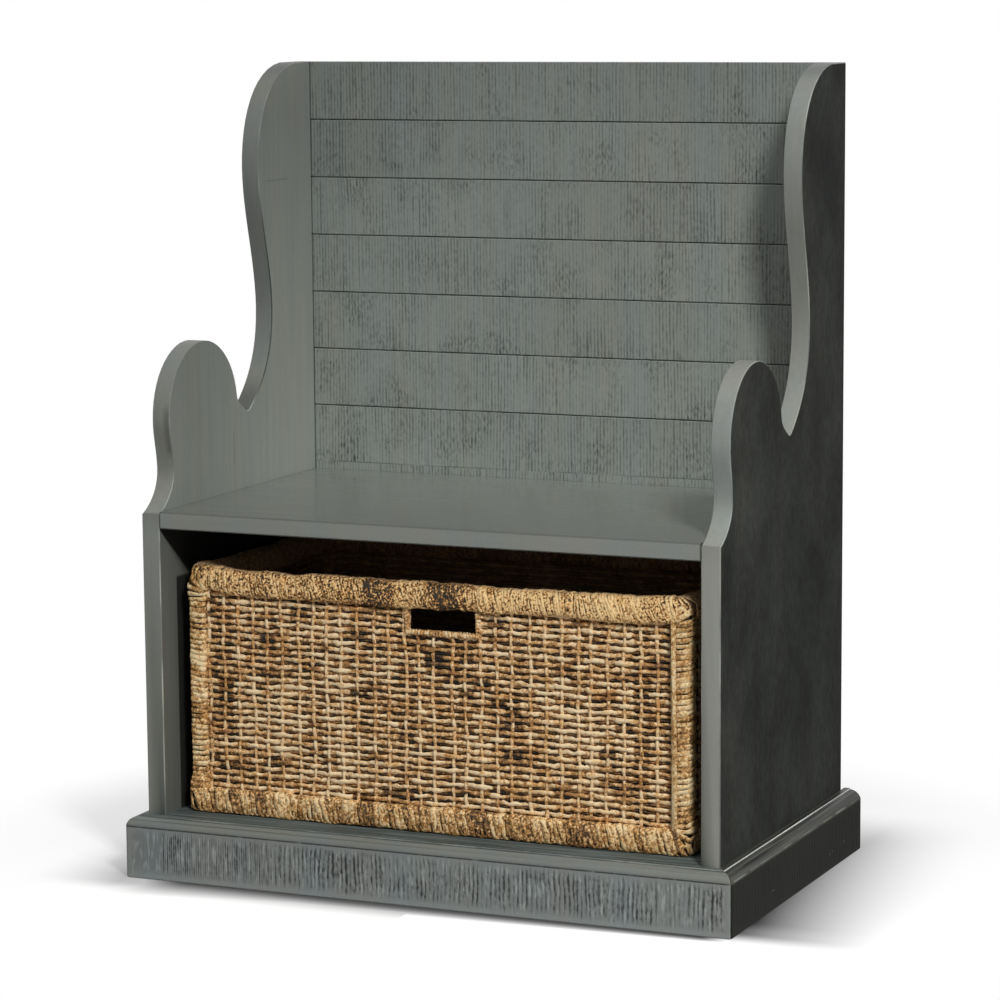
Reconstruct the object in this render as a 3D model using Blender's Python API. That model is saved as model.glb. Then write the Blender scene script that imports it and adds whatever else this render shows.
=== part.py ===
"""Hall bench with a scrolled high back, a boarded seat back and a woven pull-out storage basket.

Run it with blender --background --python part.py, or from the text editor.
Metres, +Z up, front towards -Y. The origin lies on the floor, in the middle of the plinth's footprint.
Inside the bench frame, depth is measured backwards from the front edges of the two side panels.
"""

from math import cos, pi, radians, sin, sqrt

import bmesh
import bpy
from mathutils import Matrix, Vector

# Case
OVERALL_HEIGHT = 0.992
CASE_WIDTH = 0.753
CASE_DEPTH = 0.445
PANEL_THICKNESS = 0.024
PANEL_ARRIS = 0.0012
SEAT_HEIGHT = 0.457
SEAT_THICKNESS = 0.021
FLOOR_HEIGHT = 0.078
FLOOR_THICKNESS = 0.018
HOUSING_DEPTH = 0.008
HOUSING_STOP = 0.014
HOUSING_SHOULDER = 0.004
ARRIS = 0.0015

# Scrolled edge of the side panels: setbacks from the front, widths from the back, rises above the seat
KINK_DROP = 0.0032
NECK_SETBACK = 0.0402
NECK_RISE = 0.046
EAR_RADIUS = 0.0905
EAR_SETBACK = 0.122
EAR_RISE = 0.108
NOTCH_BEHIND_EAR = 0.028
NOTCH_RISE = 0.098
NOTCH_RADIUS = 0.010
WAIST_WIDTH = 0.133
WAIST_RISE = 0.223
BELLY_WIDTH = 0.165
BELLY_RISE = 0.405
CREST_WIDTH = 0.055

# Horizontal back boards and the panel that closes the storage space
BOARD_THICKNESS = 0.015
BOARD_PITCH = 0.075
BOARD_LAP = 0.008
BOARD_REVEAL = 0.0010
BOARD_EASE = 0.0008
REBATE_WIDTH = 0.010

# Rails and glue blocks behind the plinth and under the seat
RAIL_THICKNESS = 0.020
SEAT_RAIL_CLEARANCE = 0.010
RAIL_LIFT = 0.003
BLOCK_LEG = 0.035
BLOCK_LENGTH = 0.042

# Plinth moulding
PLINTH_PROJECTION = 0.022
PLINTH_BACK_THICKNESS = 0.0125
PLINTH_LEDGE = 0.008
PLINTH_STEP = 0.0015
PLINTH_OVOLO_HEIGHT = 0.0105
PLINTH_OVOLO_END = radians(20)
PLINTH_CORNER_RADIUS = 0.005
PLINTH_FOOT_RADIUS = 0.002
SCREW_SHANK = 0.004
SCREW_HEAD = 0.008
SCREW_LENGTH = 0.036
BACK_SCREW_LENGTH = 0.022
SCREW_INSET = 0.1025

# Basket
BASKET_SIDE_CLEARANCE = 0.017
BASKET_BACK_CLEARANCE = 0.015
BASKET_HEADROOM = 0.050
BASKET_SETBACK = 0.030
WALL_THICKNESS = 0.009
WALL_INSET = 0.006
RIM_WIDTH = 0.029
RIM_HEIGHT = 0.032
RIM_ROUNDING = 0.0095
RIM_CORNER_RADIUS = 0.022
BAND_HEIGHT = 0.032
BAND_WIDTH = 0.017
BAND_ROUNDING = 0.006
WRAP_WIDTH = 0.023
WRAP_INSET = 0.002
WRAP_ROUNDING = 0.007
POST_DIAMETER = 0.006
BASKET_FLOOR_LIFT = 0.006
BASKET_FLOOR_THICKNESS = 0.008
HANDLE_WIDTH = 0.087
HANDLE_DEPTH = 0.0276
HANDLE_OFFSET = 0.0117
HANDLE_CORNER = 0.004

# Fits
GAP = 0.0003
SCREW_CLEARANCE = 0.0004
CUT_OVERRUN = 0.004
CURVE_STEPS = 12
SCREW_SIDES = 8

# Worked out from the sizes above
INNER_WIDTH = CASE_WIDTH - 2 * PANEL_THICKNESS
TOTAL_DEPTH = PLINTH_PROJECTION + CASE_DEPTH + PLINTH_BACK_THICKNESS
CASE_FRONT = PLINTH_PROJECTION - TOTAL_DEPTH / 2
BOARD_FRONT = CASE_DEPTH - BOARD_THICKNESS
BOARD_LENGTH = INNER_WIDTH + 2 * (REBATE_WIDTH - GAP)
BOARD_COUNT = int((OVERALL_HEIGHT - SEAT_HEIGHT) / BOARD_PITCH)
SEAT_UNDERSIDE = SEAT_HEIGHT - SEAT_THICKNESS
FLOOR_UNDERSIDE = FLOOR_HEIGHT - FLOOR_THICKNESS
PLINTH_OVOLO_WIDTH = PLINTH_PROJECTION - PLINTH_LEDGE
PLINTH_FACE_HEIGHT = FLOOR_HEIGHT - PLINTH_STEP - PLINTH_OVOLO_HEIGHT
SCREW_HEIGHT = PLINTH_FACE_HEIGHT / 2
BASKET_WIDTH = INNER_WIDTH - 2 * BASKET_SIDE_CLEARANCE
BASKET_DEPTH = BOARD_FRONT - BASKET_SETBACK - BASKET_BACK_CLEARANCE
BASKET_HEIGHT = SEAT_UNDERSIDE - FLOOR_HEIGHT - BASKET_HEADROOM
SEAT_RAIL_HEIGHT = BASKET_HEADROOM - SEAT_RAIL_CLEARANCE
WALL_BOTTOM = BAND_HEIGHT + GAP
WALL_TOP = BASKET_HEIGHT - RIM_HEIGHT - GAP


def clear_scene():
    for old in list(bpy.data.objects):
        bpy.data.objects.remove(old, do_unlink=True)


def material(name, colour, roughness, metallic=0.0):
    made = bpy.data.materials.new(name)
    made.use_nodes = True
    shader = made.node_tree.nodes["Principled BSDF"]
    shader.inputs["Base Color"].default_value = (*colour, 1.0)
    shader.inputs["Roughness"].default_value = roughness
    shader.inputs["Metallic"].default_value = metallic
    made.diffuse_color = (*colour, 1.0)
    return made


def empty(name, location, parent=None):
    made = bpy.data.objects.new(name, None)
    made.empty_display_size = 0.05
    made.location = location
    made.parent = parent
    bpy.context.scene.collection.objects.link(made)
    return made


def add_object(name, bm, surface, parent, location=(0.0, 0.0, 0.0), smooth_angle=None):
    """Turn a bmesh into a named object; its faces are made to point outwards."""
    bmesh.ops.recalc_face_normals(bm, faces=bm.faces)
    mesh = bpy.data.meshes.new(name)
    bm.to_mesh(mesh)
    bm.free()
    mesh.materials.append(surface)
    if smooth_angle is not None:
        mesh.shade_smooth()
        mesh.set_sharp_from_angle(angle=smooth_angle)
    made = bpy.data.objects.new(name, mesh)
    made.location = location
    made.parent = parent
    bpy.context.scene.collection.objects.link(made)
    return made


def as_cutter(made):
    made.hide_render = True
    made.display_type = "WIRE"
    return made


def cut(made, cutter):
    """Take the cutter's volume out of an object."""
    boolean = made.modifiers.new(cutter.name, "BOOLEAN")
    boolean.operation = "DIFFERENCE"
    boolean.solver = "EXACT"
    boolean.object = cutter


def ease_edges(made, width, segments=1):
    """Take the sharpness off every square arris of an object."""
    bevel = made.modifiers.new("arris", "BEVEL")
    bevel.width = width
    bevel.segments = segments
    bevel.limit_method = "ANGLE"
    bevel.angle_limit = radians(50)


def add_box(bm, low, high):
    """Add a box between two opposite corners."""
    size = Vector(high) - Vector(low)
    middle = (Vector(high) + Vector(low)) / 2
    place = Matrix.Translation(middle) @ Matrix.Diagonal((*size, 1.0))
    bmesh.ops.create_cube(bm, size=1.0, matrix=place)


def add_prism(bm, outline, sweep):
    """Add the solid that a flat outline of 3-D points makes when it is swept along a vector."""
    face = bm.faces.new([bm.verts.new(point) for point in outline])
    swept = bmesh.ops.extrude_face_region(bm, geom=[face], use_keep_orig=True)
    moved = [item for item in swept["geom"] if isinstance(item, bmesh.types.BMVert)]
    bmesh.ops.translate(bm, verts=moved, vec=sweep)
    return moved


def add_turned(bm, profile, base, direction, sides):
    """Add a solid turned about a line; the profile lists (distance along the line, radius)."""
    turn = Vector((0.0, 0.0, 1.0)).rotation_difference(Vector(direction)).to_matrix()
    rings = []
    for along, radius in profile:
        ring = []
        for step in range(sides):
            angle = 2 * pi * (step + 0.5) / sides
            point = Vector((radius * cos(angle), radius * sin(angle), along))
            ring.append(bm.verts.new(Vector(base) + turn @ point))
        rings.append(ring)
    join_rings(bm, rings, closed=False)


def join_rings(bm, rings, closed):
    """Skin a row of equal rings of vertices; an open row gets an end face at both ends."""
    pairs = list(zip(rings, rings[1:]))
    if closed:
        pairs.append((rings[-1], rings[0]))
    for near, far in pairs:
        for step in range(len(near)):
            after = (step + 1) % len(near)
            bm.faces.new((near[step], near[after], far[after], far[step]))
    if not closed:
        bm.faces.new(rings[0])
        bm.faces.new(list(reversed(rings[-1])))


def bezier(start, lead, trail, end, steps=CURVE_STEPS):
    """Points of a cubic curve, without its first one."""
    points = []
    for step in range(1, steps + 1):
        t = step / steps
        s = 1 - t
        weights = (s * s * s, 3 * s * s * t, 3 * s * t * t, t * t * t)
        corners = (start, lead, trail, end)
        points.append(tuple(sum(w * c[axis] for w, c in zip(weights, corners)) for axis in (0, 1)))
    return points


def arc(centre, radius, start, end, steps):
    """Points of a circular arc between two angles in radians, with both ends."""
    points = []
    for step in range(steps + 1):
        angle = start + (end - start) * step / steps
        points.append((centre[0] + radius * cos(angle), centre[1] + radius * sin(angle)))
    return points


def rounded_rectangle(width, height, radius, corner_steps):
    """A closed outline round the origin."""
    points = []
    for index, (side, level) in enumerate(((1, 1), (-1, 1), (-1, -1), (1, -1))):
        centre = (side * (width / 2 - radius), level * (height / 2 - radius))
        points += arc(centre, radius, index * pi / 2, (index + 1) * pi / 2, corner_steps)
    return points


# Side panels

def upright_s(start, end):
    """An S-curve that leaves and arrives upright."""
    lead = (end[1] - start[1]) / 3
    return bezier(start, (start[0], start[1] + lead), (end[0], end[1] - lead), end)


def scroll_outline():
    """(depth, height) outline of a side panel: post, neck, ear, notch, waist, belly and crest.

    Curve handles are shares of each curve's own width and rise.
    """
    kink = (0.0, SEAT_HEIGHT - KINK_DROP)
    neck = (NECK_SETBACK, SEAT_HEIGHT + NECK_RISE)
    ear_centre = (EAR_SETBACK, SEAT_HEIGHT + EAR_RISE)
    ear_front = (EAR_SETBACK - EAR_RADIUS, ear_centre[1])
    waist = (CASE_DEPTH - WAIST_WIDTH, SEAT_HEIGHT + WAIST_RISE)
    belly = (CASE_DEPTH - BELLY_WIDTH, SEAT_HEIGHT + BELLY_RISE)
    crest = (CASE_DEPTH - CREST_WIDTH, OVERALL_HEIGHT)

    neck_rise = neck[1] - kink[1]
    points = [(0.0, 0.0), kink]
    points += bezier(kink, (0.45 * neck[0], kink[1] + 0.15 * neck_rise),
                     (neck[0], kink[1] + 0.50 * neck_rise), neck)
    points += upright_s(neck, ear_front)

    ear = arc(ear_centre, EAR_RADIUS, pi, radians(8), 2 * CURVE_STEPS)
    notch_centre = (EAR_SETBACK + EAR_RADIUS + NOTCH_BEHIND_EAR,
                    SEAT_HEIGHT + NOTCH_RISE + NOTCH_RADIUS)
    notch = arc(notch_centre, NOTCH_RADIUS, radians(235), radians(305), 5)
    flare = notch[0][0] - ear[-1][0]
    drop = ear[-1][1] - notch[0][1]
    points += ear[1:]
    points += bezier(ear[-1], (ear[-1][0] + 0.10 * flare, ear[-1][1] - 0.45 * drop),
                     (notch[0][0] - 0.45 * flare, notch[0][1] + 0.30 * flare), notch[0], CURVE_STEPS // 2)
    points += notch[1:]

    swing = waist[0] - notch[-1][0]
    climb = waist[1] - notch[-1][1]
    points += bezier(notch[-1], (notch[-1][0] + 0.48 * swing, notch[-1][1] + 0.36 * swing),
                     (waist[0], waist[1] - 0.52 * climb), waist)
    points += upright_s(waist, belly)

    lean = crest[0] - belly[0]
    reach = crest[1] - belly[1]
    points += bezier(belly, (belly[0], belly[1] + 0.485 * reach),
                     (belly[0] + 0.32 * lean, crest[1] - 0.054 * reach), crest)
    points += [(CASE_DEPTH, OVERALL_HEIGHT), (CASE_DEPTH, 0.0)]
    return points


def board_faces():
    """(low, high) front faces of the back boards, from the top board down."""
    faces = []
    for index in range(BOARD_COUNT):
        high = OVERALL_HEIGHT - index * BOARD_PITCH
        if index > 0:
            high -= BOARD_REVEAL / 2
        low = OVERALL_HEIGHT - (index + 1) * BOARD_PITCH + BOARD_REVEAL / 2
        if index == BOARD_COUNT - 1:
            low = SEAT_UNDERSIDE
        faces.append((low, high))
    return faces


def side_panel(name, side, paint, parent):
    """A scrolled panel; side is -1 on the left and +1 on the right, x = 0 on its inner face."""
    bm = bmesh.new()
    outline = scroll_outline()
    add_prism(bm, [(0.0, depth, height) for depth, height in outline],
              (side * PANEL_THICKNESS, 0.0, 0.0))
    rims = [edge for edge in bm.edges if abs(edge.verts[0].co.x - edge.verts[1].co.x) < GAP]
    bmesh.ops.bevel(bm, geom=rims, offset=PANEL_ARRIS, segments=1, affect="EDGES")
    panel = add_object(name, bm, paint, parent, (side * INNER_WIDTH / 2, 0.0, 0.0), radians(30))

    rebate = bmesh.new()
    add_box(rebate, (-CUT_OVERRUN, BOARD_FRONT, -CUT_OVERRUN),
            (REBATE_WIDTH, CASE_DEPTH + CUT_OVERRUN, OVERALL_HEIGHT + CUT_OVERRUN))
    housings = bmesh.new()
    for under, top in ((SEAT_UNDERSIDE, SEAT_HEIGHT), (FLOOR_UNDERSIDE, FLOOR_HEIGHT)):
        add_box(housings, (-CUT_OVERRUN, HOUSING_STOP, under - GAP),
                (HOUSING_DEPTH, BOARD_FRONT + CUT_OVERRUN, top - HOUSING_SHOULDER + GAP))
    screw_radius = SCREW_SHANK / 2 + SCREW_CLEARANCE
    sink_radius = SCREW_HEAD / 2 + SCREW_CLEARANCE
    screws = bmesh.new()
    for depth in side_screw_depths():
        add_turned(screws, ((-CUT_OVERRUN, sink_radius), (screw_seat(), sink_radius),
                            (screw_seat() + SCREW_HEAD / 2 - SCREW_SHANK / 2, screw_radius),
                            (PANEL_THICKNESS + CUT_OVERRUN, screw_radius)),
                   (0.0, depth, SCREW_HEIGHT), (1, 0, 0), SCREW_SIDES)
    for label, cutter_mesh in (("rebate", rebate), ("housings", housings), ("screws", screws)):
        if side < 0:
            bmesh.ops.scale(cutter_mesh, vec=(-1.0, 1.0, 1.0), verts=cutter_mesh.verts)
        cutter = as_cutter(add_object(f"cut_{label}_{name}", cutter_mesh, paint, panel))
        cut(panel, cutter)
    return panel


# Boards and panels between the sides

def housed_board(name, height, thickness, paint, parent):
    """A board whose ends run in stopped housings, with its front corners notched round the stops.

    The tongues are shouldered on top, so the show face ends cleanly against the side panels.
    """
    half_open = INNER_WIDTH / 2 - GAP
    half_housed = INNER_WIDTH / 2 + HOUSING_DEPTH - GAP
    front_stop = HOUSING_STOP + GAP
    back = BOARD_FRONT - GAP
    outline = [(-half_open, 0.0), (half_open, 0.0), (half_open, front_stop), (half_housed, front_stop),
               (half_housed, back), (-half_housed, back), (-half_housed, front_stop),
               (-half_open, front_stop)]
    bm = bmesh.new()
    add_prism(bm, [(x, depth, 0.0) for x, depth in outline], (0.0, 0.0, thickness))
    front_arrises = [edge for edge in bm.edges if all(vert.co.y < GAP for vert in edge.verts)
                     and abs(edge.verts[0].co.x - edge.verts[1].co.x) > GAP]
    bmesh.ops.bevel(bm, geom=front_arrises, offset=ARRIS, segments=2, affect="EDGES")
    board = add_object(name, bm, paint, parent, (0.0, 0.0, height - thickness), radians(40))
    shoulders = bmesh.new()
    for side in (-1, 1):
        ends = sorted((side * half_open, side * (half_housed + CUT_OVERRUN)))
        add_box(shoulders, (ends[0], front_stop - CUT_OVERRUN, thickness - HOUSING_SHOULDER),
                (ends[1], back + CUT_OVERRUN, thickness + CUT_OVERRUN))
    cut(board, as_cutter(add_object(f"cut_shoulders_{name}", shoulders, paint, board)))
    return board


def back_board(name, low, high, is_top, is_bottom, paint, parent):
    """A shiplapped board: a lip at the lower front, a tongue at the upper back."""
    lip = BOARD_THICKNESS / 2
    tall = high - low
    lower_lap = 0.0 if is_bottom else BOARD_LAP
    upper_lap = 0.0 if is_top else BOARD_LAP - BOARD_REVEAL
    profile = [(BOARD_EASE, 0.0), (0.0, BOARD_EASE), (0.0, tall - BOARD_EASE), (BOARD_EASE, tall)]
    if upper_lap:
        profile += [(lip + GAP, tall), (lip + GAP, tall + upper_lap)]
    profile += [(BOARD_THICKNESS, tall + upper_lap), (BOARD_THICKNESS, lower_lap)]
    if lower_lap:
        profile += [(lip, lower_lap), (lip, 0.0)]
    bm = bmesh.new()
    add_prism(bm, [(-BOARD_LENGTH / 2, depth, height) for depth, height in profile],
              (BOARD_LENGTH, 0.0, 0.0))
    board = add_object(name, bm, paint, parent, (0.0, BOARD_FRONT, low), radians(30))
    return board


def storage_back(stain, parent):
    """The plain panel behind the basket, in the same rebates as the boards above it."""
    bm = bmesh.new()
    tall = SEAT_UNDERSIDE - GAP - RAIL_LIFT
    add_box(bm, (-BOARD_LENGTH / 2, 0.0, 0.0), (BOARD_LENGTH / 2, BOARD_THICKNESS, tall))
    panel = add_object("storage_back_panel", bm, stain, parent, (0.0, BOARD_FRONT, RAIL_LIFT))
    holes = bmesh.new()
    radius = SCREW_SHANK / 2 + SCREW_CLEARANCE
    depth = BACK_SCREW_LENGTH - PLINTH_BACK_THICKNESS + GAP
    for x in cross_screw_places():
        add_turned(holes, ((-CUT_OVERRUN, radius), (depth, radius)),
                   (x, BOARD_THICKNESS, SCREW_HEIGHT - RAIL_LIFT), (0, -1, 0), SCREW_SIDES)
    cut(panel, as_cutter(add_object("cut_screws_storage_back_panel", holes, stain, panel)))
    return panel


def rail(name, depth, low, high, paint, parent):
    """A rail between the side panels; depth is that of its front face."""
    bm = bmesh.new()
    half = INNER_WIDTH / 2 - GAP
    add_box(bm, (-half, 0.0, 0.0), (half, RAIL_THICKNESS, high - low))
    made = add_object(name, bm, paint, parent, (0.0, depth, low))
    ease_edges(made, ARRIS)
    return made


def glue_block(name, side, depth, facing, timber, parent):
    """A triangular block in an inner corner of the base, under the floor."""
    bm = bmesh.new()
    add_prism(bm, [(0.0, 0.0, 0.0), (-side * BLOCK_LEG, 0.0, 0.0), (0.0, facing * BLOCK_LEG, 0.0)],
              (0.0, 0.0, BLOCK_LENGTH))
    corner = (side * (INNER_WIDTH / 2 - GAP), depth, FLOOR_UNDERSIDE - GAP - BLOCK_LENGTH)
    return add_object(name, bm, timber, parent, corner)


# Plinth

def plinth_profile():
    """(projection, height) section of the plinth board, against the case at projection 0.

    The ovolo leaves the ledge's step level and meets the face at a blunt arris.
    """
    foot = arc((PLINTH_PROJECTION - PLINTH_FOOT_RADIUS, PLINTH_FOOT_RADIUS), PLINTH_FOOT_RADIUS,
               -pi / 2, 0.0, 2)
    half_width = PLINTH_OVOLO_WIDTH / cos(PLINTH_OVOLO_END)
    half_height = PLINTH_OVOLO_HEIGHT / (1 - sin(PLINTH_OVOLO_END))
    top = PLINTH_FACE_HEIGHT + PLINTH_OVOLO_HEIGHT
    ovolo = []
    for step in range(7):
        angle = PLINTH_OVOLO_END + (pi / 2 - PLINTH_OVOLO_END) * step / 6
        ovolo.append((PLINTH_LEDGE + half_width * cos(angle), top - half_height * (1 - sin(angle))))
    return [(GAP, 0.0)] + foot + ovolo + [(PLINTH_LEDGE, FLOOR_HEIGHT), (GAP, FLOOR_HEIGHT)]


def corner_point(projection, angle):
    """Plan place of a profile point at the right front corner; angle 0 faces right, -90 deg front."""
    start = PLINTH_PROJECTION - PLINTH_CORNER_RADIUS
    centre = (CASE_WIDTH / 2 + min(projection, start), -min(projection, start))
    reach = max(0.0, projection - start)
    return centre[0] + reach * cos(angle), centre[1] + reach * sin(angle)


def add_plinth_sections(bm, sections):
    rings = [[bm.verts.new(point) for point in section] for section in sections]
    join_rings(bm, rings, closed=False)
    bmesh.ops.remove_doubles(bm, verts=bm.verts, dist=0.000001)


def plinth_front(paint, parent):
    """The moulded front board, mitred at both ends, with its outer corners rounded over."""
    profile = plinth_profile()
    mitre_gap = GAP / sqrt(2)
    angles = [-pi / 4, -3 * pi / 8, -pi / 2]
    right = []
    for angle in angles:
        section = []
        for projection, height in profile:
            x, depth = corner_point(projection, angle)
            section.append((x - mitre_gap, depth, height))
        right.append(section)
    left = [[(-x, depth, height) for x, depth, height in section] for section in reversed(right)]
    bm = bmesh.new()
    add_plinth_sections(bm, right + left)
    board = add_object("plinth_front", bm, paint, parent, (0.0, 0.0, 0.0), radians(30))
    holes = bmesh.new()
    radius = SCREW_SHANK / 2 + SCREW_CLEARANCE
    reach = screw_seat() + SCREW_LENGTH - RAIL_THICKNESS + 2 * GAP
    for x in cross_screw_places():
        add_turned(holes, ((-CUT_OVERRUN, radius), (reach, radius)),
                   (x, 0.0, SCREW_HEIGHT), (0, -1, 0), SCREW_SIDES)
    cut(board, as_cutter(add_object("cut_screws_plinth_front", holes, paint, board)))
    return board


def plinth_side(name, side, paint, parent):
    """A moulded side board, mitred in front and square where it runs past the plinth's back board."""
    profile = plinth_profile()
    mitre_gap = GAP / sqrt(2)
    sections = []
    for angle in (-pi / 4, -pi / 8, 0.0):
        section = []
        for projection, height in profile:
            x, depth = corner_point(projection, angle)
            section.append((side * x, depth + mitre_gap, height))
        sections.append(section)
    sections.append([(side * (CASE_WIDTH / 2 + projection), CASE_DEPTH + PLINTH_BACK_THICKNESS, height)
                     for projection, height in profile])
    bm = bmesh.new()
    add_plinth_sections(bm, sections)
    board = add_object(name, bm, paint, parent, (0.0, 0.0, 0.0), radians(30))
    holes = bmesh.new()
    radius = SCREW_SHANK / 2 + SCREW_CLEARANCE
    reach = screw_seat() + SCREW_LENGTH - PANEL_THICKNESS + GAP
    for depth in side_screw_depths():
        add_turned(holes, ((-CUT_OVERRUN, radius), (reach, radius)),
                   (side * CASE_WIDTH / 2, depth, SCREW_HEIGHT), (side, 0, 0), SCREW_SIDES)
    cut(board, as_cutter(add_object(f"cut_screws_{name}", holes, paint, board)))
    return board


def plinth_back(paint, parent):
    """A plain board across the back, between the ends of the side boards."""
    bm = bmesh.new()
    half = CASE_WIDTH / 2 - GAP
    add_box(bm, (-half, GAP, 0.0), (half, PLINTH_BACK_THICKNESS, PLINTH_FACE_HEIGHT))
    board = add_object("plinth_back", bm, paint, parent, (0.0, CASE_DEPTH, 0.0))
    ease_edges(board, ARRIS)
    holes = bmesh.new()
    for x in cross_screw_places():
        add_turned(holes, countersink(PLINTH_BACK_THICKNESS),
                   (x, PLINTH_BACK_THICKNESS, SCREW_HEIGHT), (0, -1, 0), SCREW_SIDES)
    cut(board, as_cutter(add_object("cut_screws_plinth_back", holes, paint, board)))
    return board


# Fasteners

def screw_seat():
    """Depth of a screw's flat head below the face it is driven into."""
    return 2 * GAP


def countersink(thickness):
    """Profile of a clearance hole with its countersink, from the driven face through a thickness."""
    head = SCREW_HEAD / 2 + SCREW_CLEARANCE
    shank = SCREW_SHANK / 2 + SCREW_CLEARANCE
    return ((-CUT_OVERRUN, head), (screw_seat(), head), (screw_seat() + head - shank, shank),
            (thickness + CUT_OVERRUN, shank))


def cross_screw_places():
    outermost = INNER_WIDTH / 2 - SCREW_INSET
    return (-outermost, 0.0, outermost)


def side_screw_depths():
    return (SCREW_INSET, CASE_DEPTH - SCREW_INSET)


def screw(name, base, direction, length, steel, parent):
    """A countersunk screw with its own origin, its head just under the face at base."""
    head = SCREW_HEAD / 2
    shank = SCREW_SHANK / 2
    top = screw_seat()
    bm = bmesh.new()
    add_turned(bm, ((top, head), (top + head - shank, shank), (length - SCREW_SHANK, shank),
                    (length, shank / 4)), (0.0, 0.0, 0.0), direction, SCREW_SIDES)
    return add_object(name, bm, steel, parent, base, radians(35))


def plinth_screws(steel, parent):
    """Screws from inside, through the front rail and the side panels, and from the back."""
    for index, x in enumerate(cross_screw_places()):
        screw(f"plinth_screw_front_{index + 1}", (x, RAIL_THICKNESS + GAP, SCREW_HEIGHT), (0, -1, 0),
              SCREW_LENGTH, steel, parent)
    for label, side in (("left", -1), ("right", 1)):
        for index, depth in enumerate(side_screw_depths()):
            screw(f"plinth_screw_{label}_{index + 1}", (side * INNER_WIDTH / 2, depth, SCREW_HEIGHT),
                  (side, 0, 0), SCREW_LENGTH, steel, parent)
    for index, x in enumerate(cross_screw_places()):
        screw(f"plinth_screw_back_{index + 1}", (x, CASE_DEPTH + PLINTH_BACK_THICKNESS, SCREW_HEIGHT),
              (0, -1, 0), BACK_SCREW_LENGTH, steel, parent)


# Basket, measured from the middle of its front bottom edge

def basket_ring(name, section, inset, height, corner_radius, straw, parent):
    """A rounded rectangular ring; the section lists (outward, up) points round its centre line."""
    half_width = BASKET_WIDTH / 2 - inset
    half_depth = BASKET_DEPTH / 2 - inset
    bm = bmesh.new()
    rings = []
    for index, (right, back) in enumerate(((1, 1), (-1, 1), (-1, -1), (1, -1))):
        centre = (right * (half_width - corner_radius),
                  BASKET_DEPTH / 2 + back * (half_depth - corner_radius))
        for step in range(5):
            angle = (index + step / 4) * pi / 2
            ring = []
            for outward, up in section:
                reach = corner_radius + outward
                ring.append(bm.verts.new((centre[0] + reach * cos(angle),
                                          centre[1] + reach * sin(angle), height + up)))
            rings.append(ring)
    join_rings(bm, rings, closed=True)
    return add_object(name, bm, straw, parent, (0.0, 0.0, 0.0), radians(35))


def basket_rim(straw, parent):
    section = rounded_rectangle(RIM_WIDTH, RIM_HEIGHT, RIM_ROUNDING, 3)
    return basket_ring("basket_rim", section, RIM_WIDTH / 2, BASKET_HEIGHT - RIM_HEIGHT / 2,
                       RIM_CORNER_RADIUS, straw, parent)


def basket_base_band(straw, parent):
    section = rounded_rectangle(BAND_WIDTH, BAND_HEIGHT, BAND_ROUNDING, 2)
    return basket_ring("basket_base_band", section, BAND_WIDTH / 2, BAND_HEIGHT / 2,
                       RIM_CORNER_RADIUS, straw, parent)


def basket_wall_front(straw, parent):
    """The front wall, with the finger hole let in under the rim."""
    half = BASKET_WIDTH / 2 - WRAP_INSET - WRAP_WIDTH - GAP
    left = HANDLE_OFFSET - HANDLE_WIDTH / 2
    right = HANDLE_OFFSET + HANDLE_WIDTH / 2
    sill = WALL_TOP - HANDLE_DEPTH
    outline = [(-half, WALL_BOTTOM), (half, WALL_BOTTOM), (half, WALL_TOP), (right, WALL_TOP)]
    outline += arc((right - HANDLE_CORNER, sill + HANDLE_CORNER), HANDLE_CORNER, 0.0, -pi / 2, 3)
    outline += arc((left + HANDLE_CORNER, sill + HANDLE_CORNER), HANDLE_CORNER, -pi / 2, -pi, 3)
    outline += [(left, WALL_TOP), (-half, WALL_TOP)]
    bm = bmesh.new()
    add_prism(bm, [(x, 0.0, height) for x, height in outline], (0.0, WALL_THICKNESS, 0.0))
    return add_object("basket_wall_front", bm, straw, parent, (0.0, WALL_INSET, 0.0))


def basket_wall_back(straw, parent):
    half = BASKET_WIDTH / 2 - WRAP_INSET - WRAP_WIDTH - GAP
    bm = bmesh.new()
    add_box(bm, (-half, 0.0, WALL_BOTTOM), (half, WALL_THICKNESS, WALL_TOP))
    return add_object("basket_wall_back", bm, straw, parent,
                      (0.0, BASKET_DEPTH - WALL_INSET - WALL_THICKNESS, 0.0))


def basket_wall_side(name, side, straw, parent):
    half = BASKET_DEPTH / 2 - WRAP_INSET - WRAP_WIDTH - GAP
    outer = BASKET_WIDTH / 2 - WALL_INSET
    bm = bmesh.new()
    add_box(bm, (-WALL_THICKNESS / 2, -half, WALL_BOTTOM), (WALL_THICKNESS / 2, half, WALL_TOP))
    return add_object(name, bm, straw, parent,
                      (side * (outer - WALL_THICKNESS / 2), BASKET_DEPTH / 2, 0.0))


def basket_floor(straw, parent):
    half_width = BASKET_WIDTH / 2 - BAND_WIDTH - GAP
    half_depth = BASKET_DEPTH / 2 - BAND_WIDTH - GAP
    corner = RIM_CORNER_RADIUS - BAND_WIDTH / 2
    outline = rounded_rectangle(2 * half_width, 2 * half_depth, corner, 4)
    bm = bmesh.new()
    add_prism(bm, [(x, depth, 0.0) for x, depth in outline], (0.0, 0.0, BASKET_FLOOR_THICKNESS))
    return add_object("basket_floor", bm, straw, parent, (0.0, BASKET_DEPTH / 2, BASKET_FLOOR_LIFT))


def corner_places():
    """Names and centres of the four corner posts."""
    reach = BASKET_WIDTH / 2 - WRAP_INSET - WRAP_WIDTH / 2
    near = WRAP_INSET + WRAP_WIDTH / 2
    far = BASKET_DEPTH - near
    return (("front_left", -reach, near), ("front_right", reach, near),
            ("back_left", -reach, far), ("back_right", reach, far))


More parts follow.
